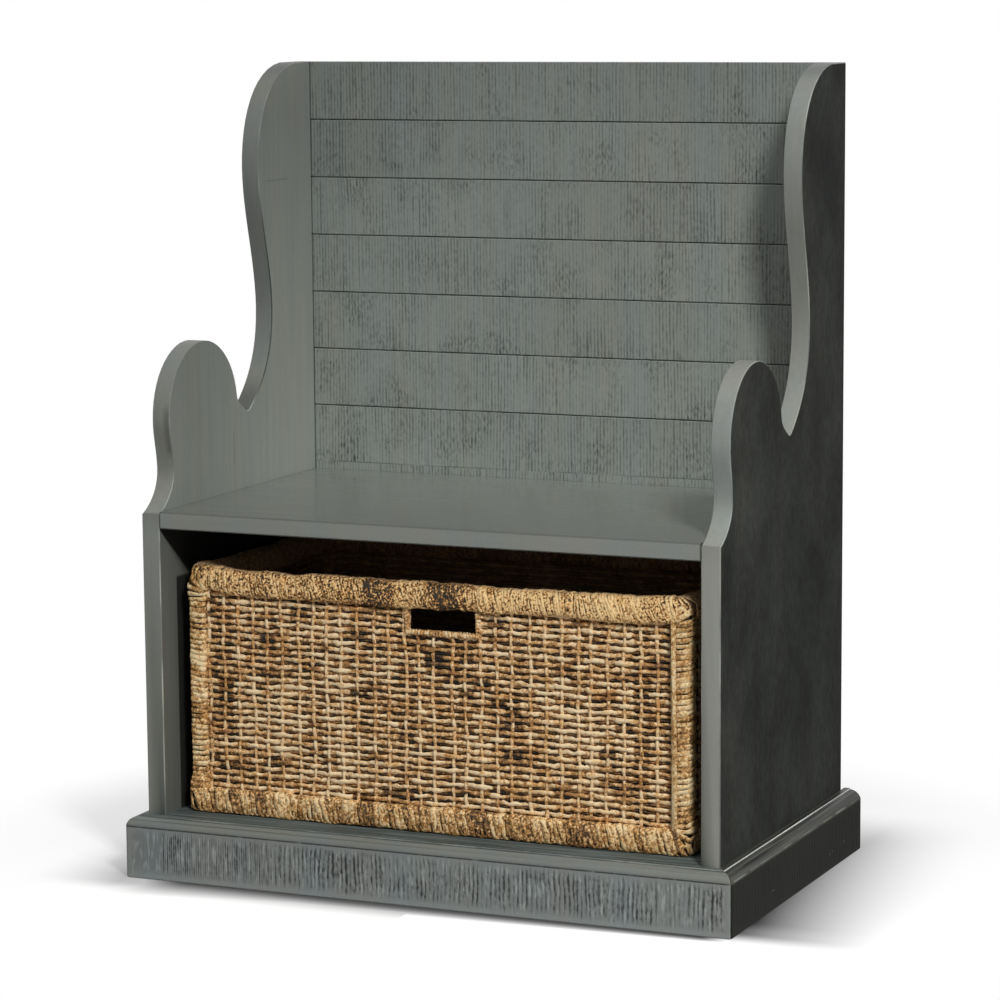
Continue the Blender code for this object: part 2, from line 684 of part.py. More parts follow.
def corner_wrap(name, x, depth, straw, parent):
    """The wound strip round a corner post: a rounded square tube."""
    outer = rounded_rectangle(WRAP_WIDTH, WRAP_WIDTH, WRAP_ROUNDING, 2)
    bore = POST_DIAMETER / 2 + GAP
    count = len(outer)
    inner = arc((0.0, 0.0), bore, pi / 4 / 3, 2 * pi + pi / 4 / 3 - 2 * pi / count, count - 1)
    bm = bmesh.new()
    rings = []
    for outline, height in ((outer, WALL_BOTTOM), (outer, WALL_TOP), (inner, WALL_TOP), (inner, WALL_BOTTOM)):
        rings.append([bm.verts.new((px, py, height)) for px, py in outline])
    join_rings(bm, rings, closed=True)
    return add_object(name, bm, straw, parent, (x, depth, 0.0), radians(35))


def corner_post(name, x, depth, rod, parent):
    """The stiff rod inside a corner, standing between the base band and the rim."""
    bm = bmesh.new()
    add_turned(bm, ((WALL_BOTTOM, POST_DIAMETER / 2), (WALL_TOP, POST_DIAMETER / 2)),
               (0.0, 0.0, 0.0), (0, 0, 1), 12)
    return add_object(name, bm, rod, parent, (x, depth, 0.0), radians(35))


# Assembly

def build_case(bench, paint, stain, timber, steel):
    for name, side in (("side_panel_left", -1), ("side_panel_right", 1)):
        side_panel(name, side, paint, bench)
    housed_board("seat_board", SEAT_HEIGHT, SEAT_THICKNESS, paint, bench)
    housed_board("storage_floor", FLOOR_HEIGHT, FLOOR_THICKNESS, paint, bench)
    faces = board_faces()
    for index, (low, high) in enumerate(faces):
        back_board(f"back_board_{index + 1}", low, high, index == 0, index == len(faces) - 1,
                   paint, bench)
    storage_back(stain, bench)
    rail_back = BOARD_FRONT - GAP - RAIL_THICKNESS
    rail("seat_rail_back", rail_back, SEAT_UNDERSIDE - GAP - SEAT_RAIL_HEIGHT, SEAT_UNDERSIDE - GAP,
         stain, bench)
    front_rail = rail("base_rail_front", GAP, RAIL_LIFT, FLOOR_UNDERSIDE - GAP, timber, bench)
    holes = bmesh.new()
    for x in cross_screw_places():
        add_turned(holes, countersink(RAIL_THICKNESS), (x, RAIL_THICKNESS, SCREW_HEIGHT - RAIL_LIFT),
                   (0, -1, 0), SCREW_SIDES)
    cut(front_rail, as_cutter(add_object("cut_screws_base_rail_front", holes, timber, front_rail)))
    rail("base_rail_back", rail_back, RAIL_LIFT, FLOOR_UNDERSIDE - GAP, timber, bench)
    for label, side in (("left", -1), ("right", 1)):
        glue_block(f"corner_block_front_{label}", side, RAIL_THICKNESS + 2 * GAP, 1, timber, bench)
        glue_block(f"corner_block_back_{label}", side, rail_back - GAP, -1, timber, bench)
    plinth_front(paint, bench)
    plinth_side("plinth_left", -1, paint, bench)
    plinth_side("plinth_right", 1, paint, bench)
    plinth_back(paint, bench)
    plinth_screws(steel, bench)


def build_basket(basket, straw, rod):
    basket_rim(straw, basket)
    basket_base_band(straw, basket)
    basket_wall_front(straw, basket)
    basket_wall_back(straw, basket)
    basket_wall_side("basket_wall_left", -1, straw, basket)
    basket_wall_side("basket_wall_right", 1, straw, basket)
    basket_floor(straw, basket)
    for label, x, depth in corner_places():
        corner_wrap(f"basket_corner_wrap_{label}", x, depth, straw, basket)
        corner_post(f"basket_post_{label}", x, depth, rod, basket)


clear_scene()
grey_paint = material("grey_green_paint", (0.150, 0.164, 0.152), 0.45)
dark_stain = material("dark_red_brown_stain", (0.045, 0.028, 0.022), 0.7)
bare_timber = material("bare_timber", (0.42, 0.30, 0.19), 0.8)
zinc_steel = material("zinc_plated_steel", (0.62, 0.62, 0.60), 0.35, 1.0)
plant_fibre = material("woven_plant_fibre", (0.36, 0.22, 0.11), 0.75)
black_rod = material("black_steel_rod", (0.05, 0.05, 0.05), 0.5, 1.0)

bench_frame = empty("bench_frame", (0.0, CASE_FRONT, 0.0))
basket_slide = empty("basket_slide", (0.0, BASKET_SETBACK, FLOOR_HEIGHT + GAP), bench_frame)
build_case(bench_frame, grey_paint, dark_stain, bare_timber, zinc_steel)
build_basket(basket_slide, plant_fibre, black_rod)
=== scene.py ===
"""The looks of a painted hall bench with a scrolled high back and a woven basket under the seat."""

from math import cos, pi, radians, sin

import bmesh
import bpy
from mathutils import Matrix, Vector


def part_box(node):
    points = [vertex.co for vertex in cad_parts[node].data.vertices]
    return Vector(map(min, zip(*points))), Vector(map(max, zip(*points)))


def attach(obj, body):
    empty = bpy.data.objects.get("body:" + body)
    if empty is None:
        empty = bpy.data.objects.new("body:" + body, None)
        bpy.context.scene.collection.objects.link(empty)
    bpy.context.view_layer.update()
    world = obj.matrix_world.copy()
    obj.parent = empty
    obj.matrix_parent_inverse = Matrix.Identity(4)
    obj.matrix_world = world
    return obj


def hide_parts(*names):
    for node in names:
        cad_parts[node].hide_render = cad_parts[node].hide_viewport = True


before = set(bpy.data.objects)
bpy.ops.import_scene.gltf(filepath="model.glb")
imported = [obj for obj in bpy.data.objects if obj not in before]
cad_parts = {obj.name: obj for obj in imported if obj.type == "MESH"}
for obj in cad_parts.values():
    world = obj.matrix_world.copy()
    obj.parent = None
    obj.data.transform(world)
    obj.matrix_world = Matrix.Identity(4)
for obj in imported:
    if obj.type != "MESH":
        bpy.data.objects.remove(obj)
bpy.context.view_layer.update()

# Side panels
# Sawn boards 24 mm thick, cut to a scroll, sanded smooth and painted grey-green with a dark wash.
# The outer faces are far darker, partly dark wash and partly painted shade, and the arrises are
# rubbed back to a lighter grey, partly as painted highlight.

PAINT = (0.178, 0.190, 0.172)
# Painted shade: the outer faces are painted far darker than the inner ones, besides their wash.
SHADED_OUTER_PAINT = (0.040, 0.0425, 0.0385)
EDGE_PAINT = (0.180, 0.192, 0.174)
WARM_TINT = (1.03, 0.995, 0.96)
COOL_TINT = (0.98, 1.0, 1.025)
GRAIN_STRETCH = {"X": (5.0, 110.0, 110.0), "Y": (220.0, 5.0, 220.0), "Z": (160.0, 160.0, 6.0)}
SPECKLE = 0.26
PAINT_RELIEF = 0.00012
PANEL_MIDDLE = 0.3645
SEAT_MIDDLE = 0.447
PANEL_SMOOTH_ANGLE = radians(60)


class Field:
    """A node's output that takes part in sums: each step adds a Math node to its tree."""

    def __init__(self, tree, socket):
        self.tree = tree
        self.socket = socket

    def maths(self, operation, *others):
        node = self.tree.nodes.new("ShaderNodeMath")
        node.operation = operation
        for socket, value in zip(node.inputs, (self, *others)):
            feed(self.tree, socket, value)
        return Field(self.tree, node.outputs[0])

    def other(self, name):
        """Another output of the same node."""
        return Field(self.tree, self.socket.node.outputs[name])

    def __add__(self, value):
        return self.maths("ADD", value)

    def __sub__(self, value):
        return self.maths("SUBTRACT", value)

    def __mul__(self, value):
        return self.maths("MULTIPLY", value)

    def __truediv__(self, value):
        return self.maths("DIVIDE", value)

    def __abs__(self):
        return self.maths("ABSOLUTE")

    def floor(self):
        return self.maths("FLOOR")

    def below(self, level):
        return self.maths("LESS_THAN", level)

    def above(self, level):
        return self.maths("GREATER_THAN", level)

    def spread(self, low, high, start=0.0, end=1.0, soft=True):
        """Carry the range from low to high over to the range from start to end, and clamp it."""
        return add_node(self.tree, "ShaderNodeMapRange", {
            "Value": self, "From Min": low, "From Max": high, "To Min": start, "To Max": end},
            interpolation_type="SMOOTHSTEP" if soft else "LINEAR")

    def fade(self, start, end, strength=1.0):
        """The whole strength up to start, and nothing from end on."""
        return self.spread(start, end, strength, 0.0)

    def line(self, place, core, edge, strength=1.0):
        """A thin line at a place: solid as far as core on both sides, and gone at edge."""
        return abs(self - place).fade(core, edge, strength)

    def cut(self, share=1.0):
        """1 less a share of the field: the factor by which it cuts a tone."""
        return self * -share + 1.0


def feed(tree, socket, value):
    """Link an input to a field, or set its value."""
    if isinstance(value, Field):
        tree.links.new(value.socket, socket)
    else:
        socket.default_value = value


def add_node(tree, kind, inputs=None, output=0, **settings):
    node = tree.nodes.new(kind)
    for name, value in settings.items():
        setattr(node, name, value)
    for name, value in (inputs or {}).items():
        feed(tree, node.inputs[name], value)
    return Field(tree, node.outputs[output])


def noise(place, scale, detail=3.0, stretch=None, distortion=0.0):
    """Noise on a place; stretch squeezes it along the axes, in cycles per metre."""
    tree = place.tree
    if stretch is not None:
        place = add_node(tree, "ShaderNodeMapping", {"Vector": place, "Scale": stretch})
    return add_node(tree, "ShaderNodeTexNoise",
                    {"Vector": place, "Scale": scale, "Detail": detail, "Distortion": distortion})


def tree_of(*values):
    return next(value.tree for value in values if isinstance(value, Field))


def vector(x, y, z):
    return add_node(tree_of(x, y, z), "ShaderNodeCombineXYZ", {"X": x, "Y": y, "Z": z})


def split(place):
    """A place's x, y and z."""
    x = add_node(place.tree, "ShaderNodeSeparateXYZ", {"Vector": place})
    return x, x.other("Y"), x.other("Z")


def noise_in(x, y, z, detail):
    """Noise on a place made of x, y and z. A plain number among them only picks another pattern."""
    return noise(vector(x, y, z), 1.0, detail)


def blend_colours(factor, first, second, blend="MIX"):
    values = (factor, first, second)
    sockets = dict(zip((0, 6, 7), ((*value, 1.0) if isinstance(value, tuple) else value for value in values)))
    return add_node(tree_of(*values), "ShaderNodeMix", sockets, 2, data_type="RGBA", blend_type=blend)


def tinted(colour, shares):
    """The colour with its red, green and blue each scaled by a share."""
    return tuple(level * share for level, share in zip(colour, shares))


def new_material(name):
    """A new material, its Principled shader and the piece's own coordinates."""
    made = bpy.data.materials.new(name)
    made.use_nodes = True
    place = add_node(made.node_tree, "ShaderNodeTexCoord", output="Object")
    return made, made.node_tree.nodes["Principled BSDF"], place


def dress(shader, colour, rough, shine, height, depth):
    """Give a shader its colour, roughness and sheen, and raise it by a height times a depth in metres."""
    tree = height.tree
    feed(tree, shader.inputs["Base Color"], colour)
    feed(tree, shader.inputs["Roughness"], rough)
    feed(tree, shader.inputs["Specular IOR Level"], shine)
    bump = add_node(tree, "ShaderNodeBump", {"Height": height, "Distance": depth, "Strength": 1.0})
    feed(tree, shader.inputs["Normal"], bump)


def paint_texture(place, grain, cloud, grain_axis="Z"):
    """Brushed paint over timber: its tone, near 1, and its relief."""
    clouds = noise(place, 5.0, 4.0)
    streaks = noise(place, 1.0, 6.0, GRAIN_STRETCH[grain_axis])
    speckle = noise(place, 560.0, 3.0)
    tone = (clouds - 0.5) * (2 * cloud) + (streaks - 0.5) * (2 * grain) + (speckle - 0.5) * SPECKLE + 1.0
    return tone, streaks * 0.6 + speckle * 0.4


def finish_paint(shader, place, colour, tone, height, depth, shine, rough):
    """Tint the paint in faint warm and cool streaks, and set its sheen and relief."""
    streaks = noise(place, 1.0, 3.0, (24.0, 24.0, 2.0))
    tint = blend_colours(streaks.spread(0.35, 0.65), tinted(colour, WARM_TINT), tinted(colour, COOL_TINT))
    rough = height.spread(0.2, 0.8, rough - 0.06, rough + 0.08)
    dress(shader, blend_colours(1.0, tint, tone, "MULTIPLY"), rough, shine, height, depth)


def painted_wood(name, colour, grain=0.10, cloud=0.14, shine=0.35, rough=0.5, grain_axis="Z", cover=None):
    """Smooth paint. cover gives a factor for its tone from a place's x, y and z, in metres: x runs to
    the right from the middle of the bench, y to the back from its middle, and z up from the floor."""
    made, shader, place = new_material(name)
    tone, height = paint_texture(place, grain, cloud, grain_axis)
    if cover:
        tone = tone * cover(*split(place))
    finish_paint(shader, place, colour, tone, height, PAINT_RELIEF, shine, rough)
    return made


def add_object(name, data):
    made = bpy.data.objects.new(name, data)
    bpy.context.scene.collection.objects.link(made)
    return made


def merged_copy(node, name):
    """A copy of a packed board with its corners joined and its flat faces made whole."""
    bm = bmesh.new()
    bm.from_mesh(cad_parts[node].data)
    bmesh.ops.remove_doubles(bm, verts=bm.verts, dist=0.00001)
    bmesh.ops.dissolve_limit(bm, angle_limit=radians(0.4), verts=bm.verts, edges=bm.edges)
    mesh = bpy.data.meshes.new(name)
    bm.to_mesh(mesh)
    bm.free()
    return add_object(name, mesh)


def settle_shading(made, angle):
    """Smooth the curves and rounded arrises, and keep the flat faces flat."""
    made.data.shade_smooth()
    made.data.set_sharp_from_angle(angle=angle)
    weighted = made.modifiers.new("flat_faces", "WEIGHTED_NORMAL")
    weighted.keep_sharp = True
    weighted.weight = 100


def inner_cover(x, y, z):
    """Painted light towards the seat and the back, and painted shade in the storage space.

    The left panel has a fine scratch near its crest and a short crack just above the seat. Beside
    the basket a painted shadow begins at an upright line, and under the seat a painted shadow of
    the seat begins at a slanting line.
    """
    left = x.below(0.0)
    # Painted light: lighter towards the seat and the back.
    wear_and_painted_light = z.spread(0.50, 0.93, 1.33, 0.80, soft=False) * y.spread(-0.12, 0.12, 1.0, 1.45, soft=False)
    storage = z.below(SEAT_MIDDLE)
    scratch = z.line(0.8435, 0.0004, 0.0010, 0.28) * y.spread(0.078, 0.088) * y.fade(0.140, 0.152) * left
    crack = y.line(-0.018, 0.0004, 0.0011, 0.40) * z.spread(0.488, 0.494) * z.fade(0.530, 0.540) * left
    crest = z.spread(0.88, 0.985) * y.fade(0.02, 0.12, 0.20)
    # Painted shadows of the seat and of the basket on the inner face.
    seat_shade = (z + y * 0.857).spread(0.2470, 0.2495)
    painted_shadows = (y.spread(-0.1775, -0.1760) * z.fade(0.369, 0.373)).maths("MAXIMUM", seat_shade) * storage
    return wear_and_painted_light * storage.cut(0.42) * scratch.cut() * crest.cut() * painted_shadows.cut(0.86) * crack.cut()


def outer_cover(x, y, z):
    """Wash and painted shade that lie in clouds, lighter round the ear."""
    clouds = noise_in(x, y * 9.0, z * 7.0, 4.0).spread(0.36, 0.64, 0.72, 1.42, soft=False)
    spots = noise_in(x, y * 150.0, z * 90.0, 3.0).spread(0.3, 0.7, 0.86, 1.14)
    ear = z.spread(0.44, 0.50) * z.fade(0.60, 0.66) * y.fade(-0.16, -0.02, 0.32)
    return clouds * spots * (ear + 1.0)


def edge_cover(x, y, z):
    """The right panel's edges are painted paler than the left's, as painted light.

    Both are darker towards the top, and below the seat the posts are painted lighter, most on the
    left, as painted light. On the left panel the neck is painted darker, as shade in the notch. A
    smudge darkens the inner half of the ear's edge.
    """
    # Painted light on the posts below the seat and on the right panel's edges; painted shade in the notch.
    post = z.fade(0.42, 0.46) * x.spread(-0.1, 0.1, 0.26, 0.08) + 1.0
    crest = z.spread(0.970, 0.988, 1.0, 0.62)
    left = x.below(0.0)
    notch_shade = z.fade(0.565, 0.605) * y.spread(0.005, 0.020) * left
    ear = z.spread(0.515, 0.530) * z.fade(0.570, 0.590) * y.fade(-0.13, -0.11) * left
    smudge = ear * x.spread(-PANEL_MIDDLE, -0.3560)
    paler = z.spread(0.46, 0.80, 1.08, 0.82) * x.spread(-0.1, 0.1, 1.0, 1.26)
    return paler * post * crest * notch_shade.cut(0.55) * smudge.cut(0.38)


def arris_cover(x, y, z):
    """Paler, as wear and painted highlight, most below the seat, and darker inside the waist."""
    inner = abs(x).below(PANEL_MIDDLE)
    waist = y.spread(0.035, 0.060) * z.fade(0.79, 0.86) * inner
    post = z.fade(0.420, 0.440, 0.35) * inner + 1.0
    wear_and_painted_light = noise_in(x * 9.0, y * 9.0, z * 9.0, 3.0).spread(0.42, 0.62, 0.9, 1.9)
    return wear_and_painted_light * waist.cut(0.72) * post


inner_paint = painted_wood("grey_green_paint_smooth", PAINT, grain=0.18, cloud=0.10, cover=inner_cover)
edge_paint = painted_wood("grey_green_paint_edges", EDGE_PAINT, grain=0.14, cloud=0.12, cover=edge_cover)
shaded_outer_paint = painted_wood("washed_and_shaded_outer_face", SHADED_OUTER_PAINT, grain=0.24, cloud=0.1, shine=0.04,
                           rough=0.7, cover=outer_cover)
worn_and_lit_arris_paint = painted_wood("worn_and_lit_arris", EDGE_PAINT, grain=0.12, cloud=0.20, cover=arris_cover)

for node, side in (("side_panel_left", -1), ("side_panel_right", 1)):
    panel = merged_copy(node, node.replace("side_panel", "scrolled_panel"))
    for surface in (inner_paint, shaded_outer_paint, worn_and_lit_arris_paint, edge_paint):
        panel.data.materials.append(surface)
    # Slot 1 is the outer face, 2 the slanted arrises and 3 the sawn edges; the inner face has slot 0.
    for face in panel.data.polygons:
        outward = face.normal.x * side
        if outward > 0.95:
            face.material_index = 1
        elif 0.5 < abs(outward) < 0.9:
            face.material_index = 2
        elif abs(outward) < 0.5:
            face.material_index = 3
    settle_shading(panel, PANEL_SMOOTH_ANGLE)
    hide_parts(node)
    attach(panel, "bench")

# Back boards
# Seven shiplapped boards, left rough from the band saw, so the wash has settled in the saw marks
# and in the joints, which also carry painted shade, as do the ends by the side panels. The boards
# are painted lighter towards the seat, as painted light. They are nailed at their ends.

BOARD_PAINT = (0.165, 0.183, 0.168)
BOARD_PITCH = 0.075
BOARD_RELIEF = 0.00035
SAW_PITCH = 0.0045


def saw_marks(along, height, waviness, pitch=SAW_PITCH):
    """Upright band-saw marks, from 0 to 1: a run of fine dark lines that waver and come and go."""
    drift = noise_in(along * 15.0, height * 4.0, 1.7, 2.0) * 11.0
    waver = noise_in(along * 26.0, height * 24.0, 9.1, 1.0) * waviness
    ripple = (along * (2 * pi / pitch) + drift + waver).maths("SINE") * 0.5 + 0.5
    lines = noise_in(along * 330.0 + waver * 0.4, height * 12.0, 2.9, 3.0)
    broken = noise_in(along * 240.0, height * 150.0, 3.3, 3.0)
    marks = (ripple * 0.30 + lines * 0.74 + (broken - 0.5) * 0.62).spread(0.42, 0.82)
    slow = noise_in(along * 16.0, height * 12.0, 0.4, 3.0)
    return marks * (slow.spread(0.36, 0.56) * 0.55 + 0.45)


def speckled_wash(along, height):
    """Dark mottled patches, where the wash stayed in the rough timber."""
    ragged = noise_in(along * 400.0, height * 130.0, 5.1, 2.0)
    patch = noise_in(along * 20.0, height * 17.0, 7.3, 4.0).spread(0.49, 0.66)
    return ragged.spread(0.44, 0.66) * patch


def finish_nodes(surface, *starts):
    """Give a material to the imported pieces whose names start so. Their meshes stay as they are."""
    for node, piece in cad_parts.items():
        if node.startswith(starts):
            piece.material_slots[0].material = surface


board_paint, shader, place = new_material("grey_green_paint_sawn")
x, _, height = split(place)
boards_down = (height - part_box("back_board_1")[1].z) / BOARD_PITCH
board_number = boards_down.floor()
along = x + board_number * 0.731
tone, texture = paint_texture(place, grain=0.12, cloud=0.07)
marks = saw_marks(along, height, 1.2)
tone = tone - marks * 0.50 - speckled_wash(along, height) * 0.36 + 0.06
uneven = noise_in(board_number * 3.7, x * 2.2, 0.0, 1.0)
# Painted light: the boards are painted lighter towards the seat.
tone = tone * height.spread(0.46, 0.99, 1.58, 0.98, soft=False) * uneven.spread(0.3, 0.7, 0.94, 1.06)
# Painted shade at the ends by the side panels, and dirt and painted shade along the joints.
corner_shade = abs(x).spread(0.3502, 0.3512, 1.0, 0.35)
crack = (x.line(-0.3387, 0.0003, 0.0010, 0.45) * height.spread(0.762, 0.775)
         * height.spread(0.835, 0.842, 1.0, 0.3) * height.fade(0.905, 0.916))
joint_noise = noise_in(along * 9.0, board_number, 0.2, 3.0)
joint_dirt_and_shade = (boards_down - board_number).fade(0.0, 0.030, 0.55) * joint_noise.spread(0.4, 0.6)
tone = tone * corner_shade * crack.cut() * joint_dirt_and_shade.cut()
finish_paint(shader, place, BOARD_PAINT, tone, texture * 0.4 - marks * 0.6, BOARD_RELIEF,
             shine=0.35, rough=0.5)
finish_nodes(board_paint, "back_board_")

# Seat and storage floor
# Planed boards with the grain running from side to side, housed in the side panels. The seat is
# painted and waxed to a soft sheen; the floor keeps dark streaks of wash in front of the basket.

SEAT_PAINT = (0.186, 0.198, 0.180)
LEDGE_PAINT = (0.112, 0.136, 0.132)


def seat_cover(x, y, z):
    """Painted light towards the back and on the front arris, and painted shade in the corners."""
    sides = abs(x).spread(0.3503, 0.3515, 1.0, 0.45)
    back = y.spread(0.2095, 0.2110, 1.0, 0.45)
    front = y.spread(-0.2177, -0.2168, 1.5, 1.0)
    return y.spread(-0.2, 0.2, 0.86, 1.24, soft=False) * sides * back * front


def ledge_cover(x, y, z):
    """Long dark streaks along the boards in front of the basket."""
    return noise_in(x * 7.0, y * 190.0, z * 90.0, 4.0).spread(0.40, 0.60, 0.45, 1.10)


seat_paint = painted_wood("waxed_seat_paint", SEAT_PAINT, grain=0.05, cloud=0.05, shine=0.45, rough=0.17,
                          grain_axis="X", cover=seat_cover)
ledge_paint = painted_wood("dark_streaky_ledge_paint", LEDGE_PAINT, grain=0.2, cloud=0.1, shine=0.12,
                           rough=0.7, grain_axis="X", cover=ledge_cover)
finish_nodes(seat_paint, "seat_board")
finish_nodes(ledge_paint, "storage_floor")

# Storage back and seat rail
# Plain boards stained a dark red-brown, glued in behind the basket, out of the light. The side
# towards the basket is stained redder and painted about three times lighter, as painted light.

STAIN = (0.24, 0.145, 0.125)
# Painted light: the side towards the basket is far lighter, besides redder.
STAIN_INSIDE_REDDER_LIT = (0.72, 0.40, 0.33)
TIMBER_RELIEF = 0.0002


def stained_wood(name, light, dark, rough, ring_scale, front=None):
    """Timber with grain along X and growth rings. front gives a place along Y and the colour before it."""
    made, shader, place = new_material(name)
    rings = noise(place, 1.0, 5.0, (2.0, ring_scale, ring_scale), distortion=0.6)
    pores = noise(place, 1.0, 4.0, (40.0, 900.0, 900.0))
    figure = (rings * 0.7 + pores * 0.3).spread(0.35, 0.65)
    colour = blend_colours(figure, dark, light)
    if front:
        inside = blend_colours(figure * 0.4 + 0.6, (0.0, 0.0, 0.0), front[1])
        colour = blend_colours(split(place)[1].below(front[0]), colour, inside)
    rough = pores.spread(0.3, 0.7, rough - 0.08, rough + 0.08)
    dress(shader, colour, rough, 0.3, rings * 0.4 + pores * 0.6, TIMBER_RELIEF)
    return made


panel_low, panel_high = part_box("storage_back_panel")
dark_stain = stained_wood("dark_red_brown_stain", STAIN, tinted(STAIN, (0.45, 0.45, 0.45)), rough=0.6,
                          ring_scale=40.0, front=((panel_low.y + panel_high.y) / 2, STAIN_INSIDE_REDDER_LIT))
finish_nodes(dark_stain, "storage_back_panel", "seat_rail_back")

# Base rails and glue blocks
# Unpainted softwood, glued under the storage floor, where the plinth hides it.

SOFTWOOD = (0.52, 0.38, 0.23)
SOFTWOOD_RINGS = (0.36, 0.23, 0.12)

bare_timber = stained_wood("bare_softwood", SOFTWOOD, SOFTWOOD_RINGS, rough=0.75, ring_scale=70.0)
finish_nodes(bare_timber, "base_rail_", "corner_block_")

# Plinth
# Moulded boards, mitred in front. The faces are band-sawn and washed, the moulding above is planed,
# and its step and arris are worn through to pale paint. The side boards are painted far darker, as
# painted shade, and the pale lines along their step and arris are partly painted highlight.

PLINTH_FACE = (0.238, 0.261, 0.252)
PLINTH_MOULD = (0.168, 0.182, 0.168)
# Painted shade: the side boards are painted far darker than the front.
SHADED_PLINTH_SIDE = (0.019, 0.020, 0.0165)
# Worn pale, and also a painted highlight along the sides' step.
PLINTH_STEP_WORN_AND_LIT = (0.78, 0.79, 0.76)
PLINTH_FACE_TOP = 0.066
PLINTH_STEP_FOOT = 0.075
PLINTH_RELIEF = 0.0007
PLINTH_SMOOTH_ANGLE = radians(35)
PLINTH_BASE_ROUND = 0.005
PALE_SPECKS = ((-0.0960, 0.0242), (-0.0916, 0.0245), (0.1181, 0.0208), (0.1270, 0.0222),
               (0.1720, 0.0250))


def vector_maths(operation, first, second=None, output=0):
    """A Vector Math node. Its second value is a place, or a number to scale by."""
    inputs = {0: first}
    if second is not None:
        inputs["Scale" if operation == "SCALE" else 1] = second
    return add_node(first.tree, "ShaderNodeVectorMath", inputs, output, operation=operation)


def plinth_paint(name, colour, axis, strength, arris, shine, rough):
    """Sawn and washed paint, whose marks stop short of the moulding and of the rounded base.

    The front board has a plain pieced end at the left, with a dark seam. The side boards have a few
    pale specks. arris is the tone of the line in which the face ends under the moulding: darker on
    the front, as painted shade, and paler on the sides, as painted highlight.
    """
    made, shader, place = new_material(name)
    x, y, height = split(place)
    along = {"X": x, "Y": y}[axis]
    tone, texture = paint_texture(place, grain=0.06, cloud=0.10)
    ragged = (noise_in(along * 130.0, height * 12.0, 4.0, 2.0) - 0.5) * 0.022
    reach = (height + ragged).spread(0.004, 0.018) * (height + ragged * 0.5).fade(0.053, 0.065)
    reach = reach * abs(along).fade(0.386, 0.393)
    fine = saw_marks(along + 3.3, height, 2.5, 0.0031)
    coarse = saw_marks(along + 5.1, height, 6.5, 0.0058)
    plain_end = along.spread(-0.3455, -0.3435, 0.12, 1.0)
    seam = along.line(-0.3445, 0.0004, 0.0012, 0.5)
    marks = (fine + (coarse - fine) * along.spread(-0.26, -0.17)) * reach * plain_end
    wash = speckled_wash(along + 1.9, height).maths("MAXIMUM", plain_end.cut() * 0.3) * reach
    worn = noise_in(along * 250.0, height * 40.0, 6.0, 2.0).spread(0.50, 0.66) * reach
    tone = tone - marks * (0.72 * strength) - wash * (0.45 * strength) + worn * (0.42 * strength)
    tone = (tone - seam * strength * reach).maths("MAXIMUM", 0.12)
    if axis == "Y":
        for spot, level in PALE_SPECKS:
            away = vector_maths("LENGTH", vector(along - spot, height - level, 0.0), output="Value")
            tone = tone + away.fade(0.0006, 0.0016, 9.0)
    foot = height.spread(0.004, 0.010, 1.14, 1.0)
    broken = noise_in(along * 60.0, 0.0, 8.0, 3.0).spread(0.22, 0.50)
    # The line at the top of the face: painted shade on the front, painted highlight on the sides.
    groove = height.spread(0.0640, 0.0645) * broken * (arris - 1.0) + 1.0
    finish_paint(shader, place, colour, tone * foot * groove, texture * 0.3 - marks * 0.7, PLINTH_RELIEF,
                 shine, rough)
    return made


def side_mould_cover(x, y, z):
    """Streaks of wash and painted reflection, and a pale line above the face, of wear and painted highlight.
    """
    streaks = noise_in(x * 240.0, y * 7.0, z * 260.0, 3.0).spread(0.40, 0.62, 0.55, 1.75)
    broken = noise_in(0.3, y * 30.0, 0.8, 3.0).spread(0.35, 0.60, 0.1, 1.0)
    return streaks * (z.fade(0.0670, 0.0682) * broken * 4.5 + 1.0)


def front_step_cover(x, y, z):
    """Painted shade in the crease at the foot of the step, in long broken lines."""
    broken = noise_in(x * 22.0, 0.4, 0.7, 3.0).spread(0.36, 0.56)
    return (z.fade(0.0769, 0.0777) * broken).cut(0.70)


def round_base(mesh):
    """Ease the lower outer edge, so that the board stands on a rounded foot."""
    bm = bmesh.new()
    bm.from_mesh(mesh)
    bm.normal_update()
    low = []
    for edge in bm.edges:
        flat = all(abs(corner.co.z) < 0.0001 for corner in edge.verts)
        upright = [face for face in edge.link_faces if abs(face.normal.z) < 0.2]
        outward = sum((face.normal.xy.dot(face.calc_center_median().xy) for face in upright), 0.0)
        mitred = any(abs(face.normal.x) > 0.6 and abs(face.normal.y) > 0.6 for face in upright)
        if flat and len(upright) == 1 and outward > 0 and not mitred:
            low.append(edge)
    bmesh.ops.bevel(bm, geom=low, offset=PLINTH_BASE_ROUND, segments=3, profile=0.5, affect="EDGES")
    bm.to_mesh(mesh)
    bm.free()


front_sawn = plinth_paint("plinth_front_sawn", PLINTH_FACE, "X", strength=1.2, arris=0.20, shine=0.35,
                          rough=0.5)
side_sawn = plinth_paint("plinth_side_sawn", SHADED_PLINTH_SIDE, "Y", strength=0.2, arris=5.0, shine=0.12, rough=0.6)
front_mould = painted_wood("plinth_mould_front", PLINTH_MOULD, grain=0.16, cloud=0.14, grain_axis="X")
side_mould = painted_wood("plinth_mould_side", tinted(SHADED_PLINTH_SIDE, (1.9, 1.9, 1.9)), grain=0.3, cloud=0.3,
                          shine=0.18, rough=0.4, grain_axis="Y", cover=side_mould_cover)
front_step_worn_and_shaded = painted_wood("worn_and_shaded_step_front", tinted(PLINTH_MOULD, (1.25, 1.25, 1.25)), grain=0.2, cloud=0.3,
                          cover=front_step_cover)
side_step_worn_and_lit = painted_wood("worn_and_lit_step_side", PLINTH_STEP_WORN_AND_LIT, grain=0.6, cloud=0.6, grain_axis="Y")

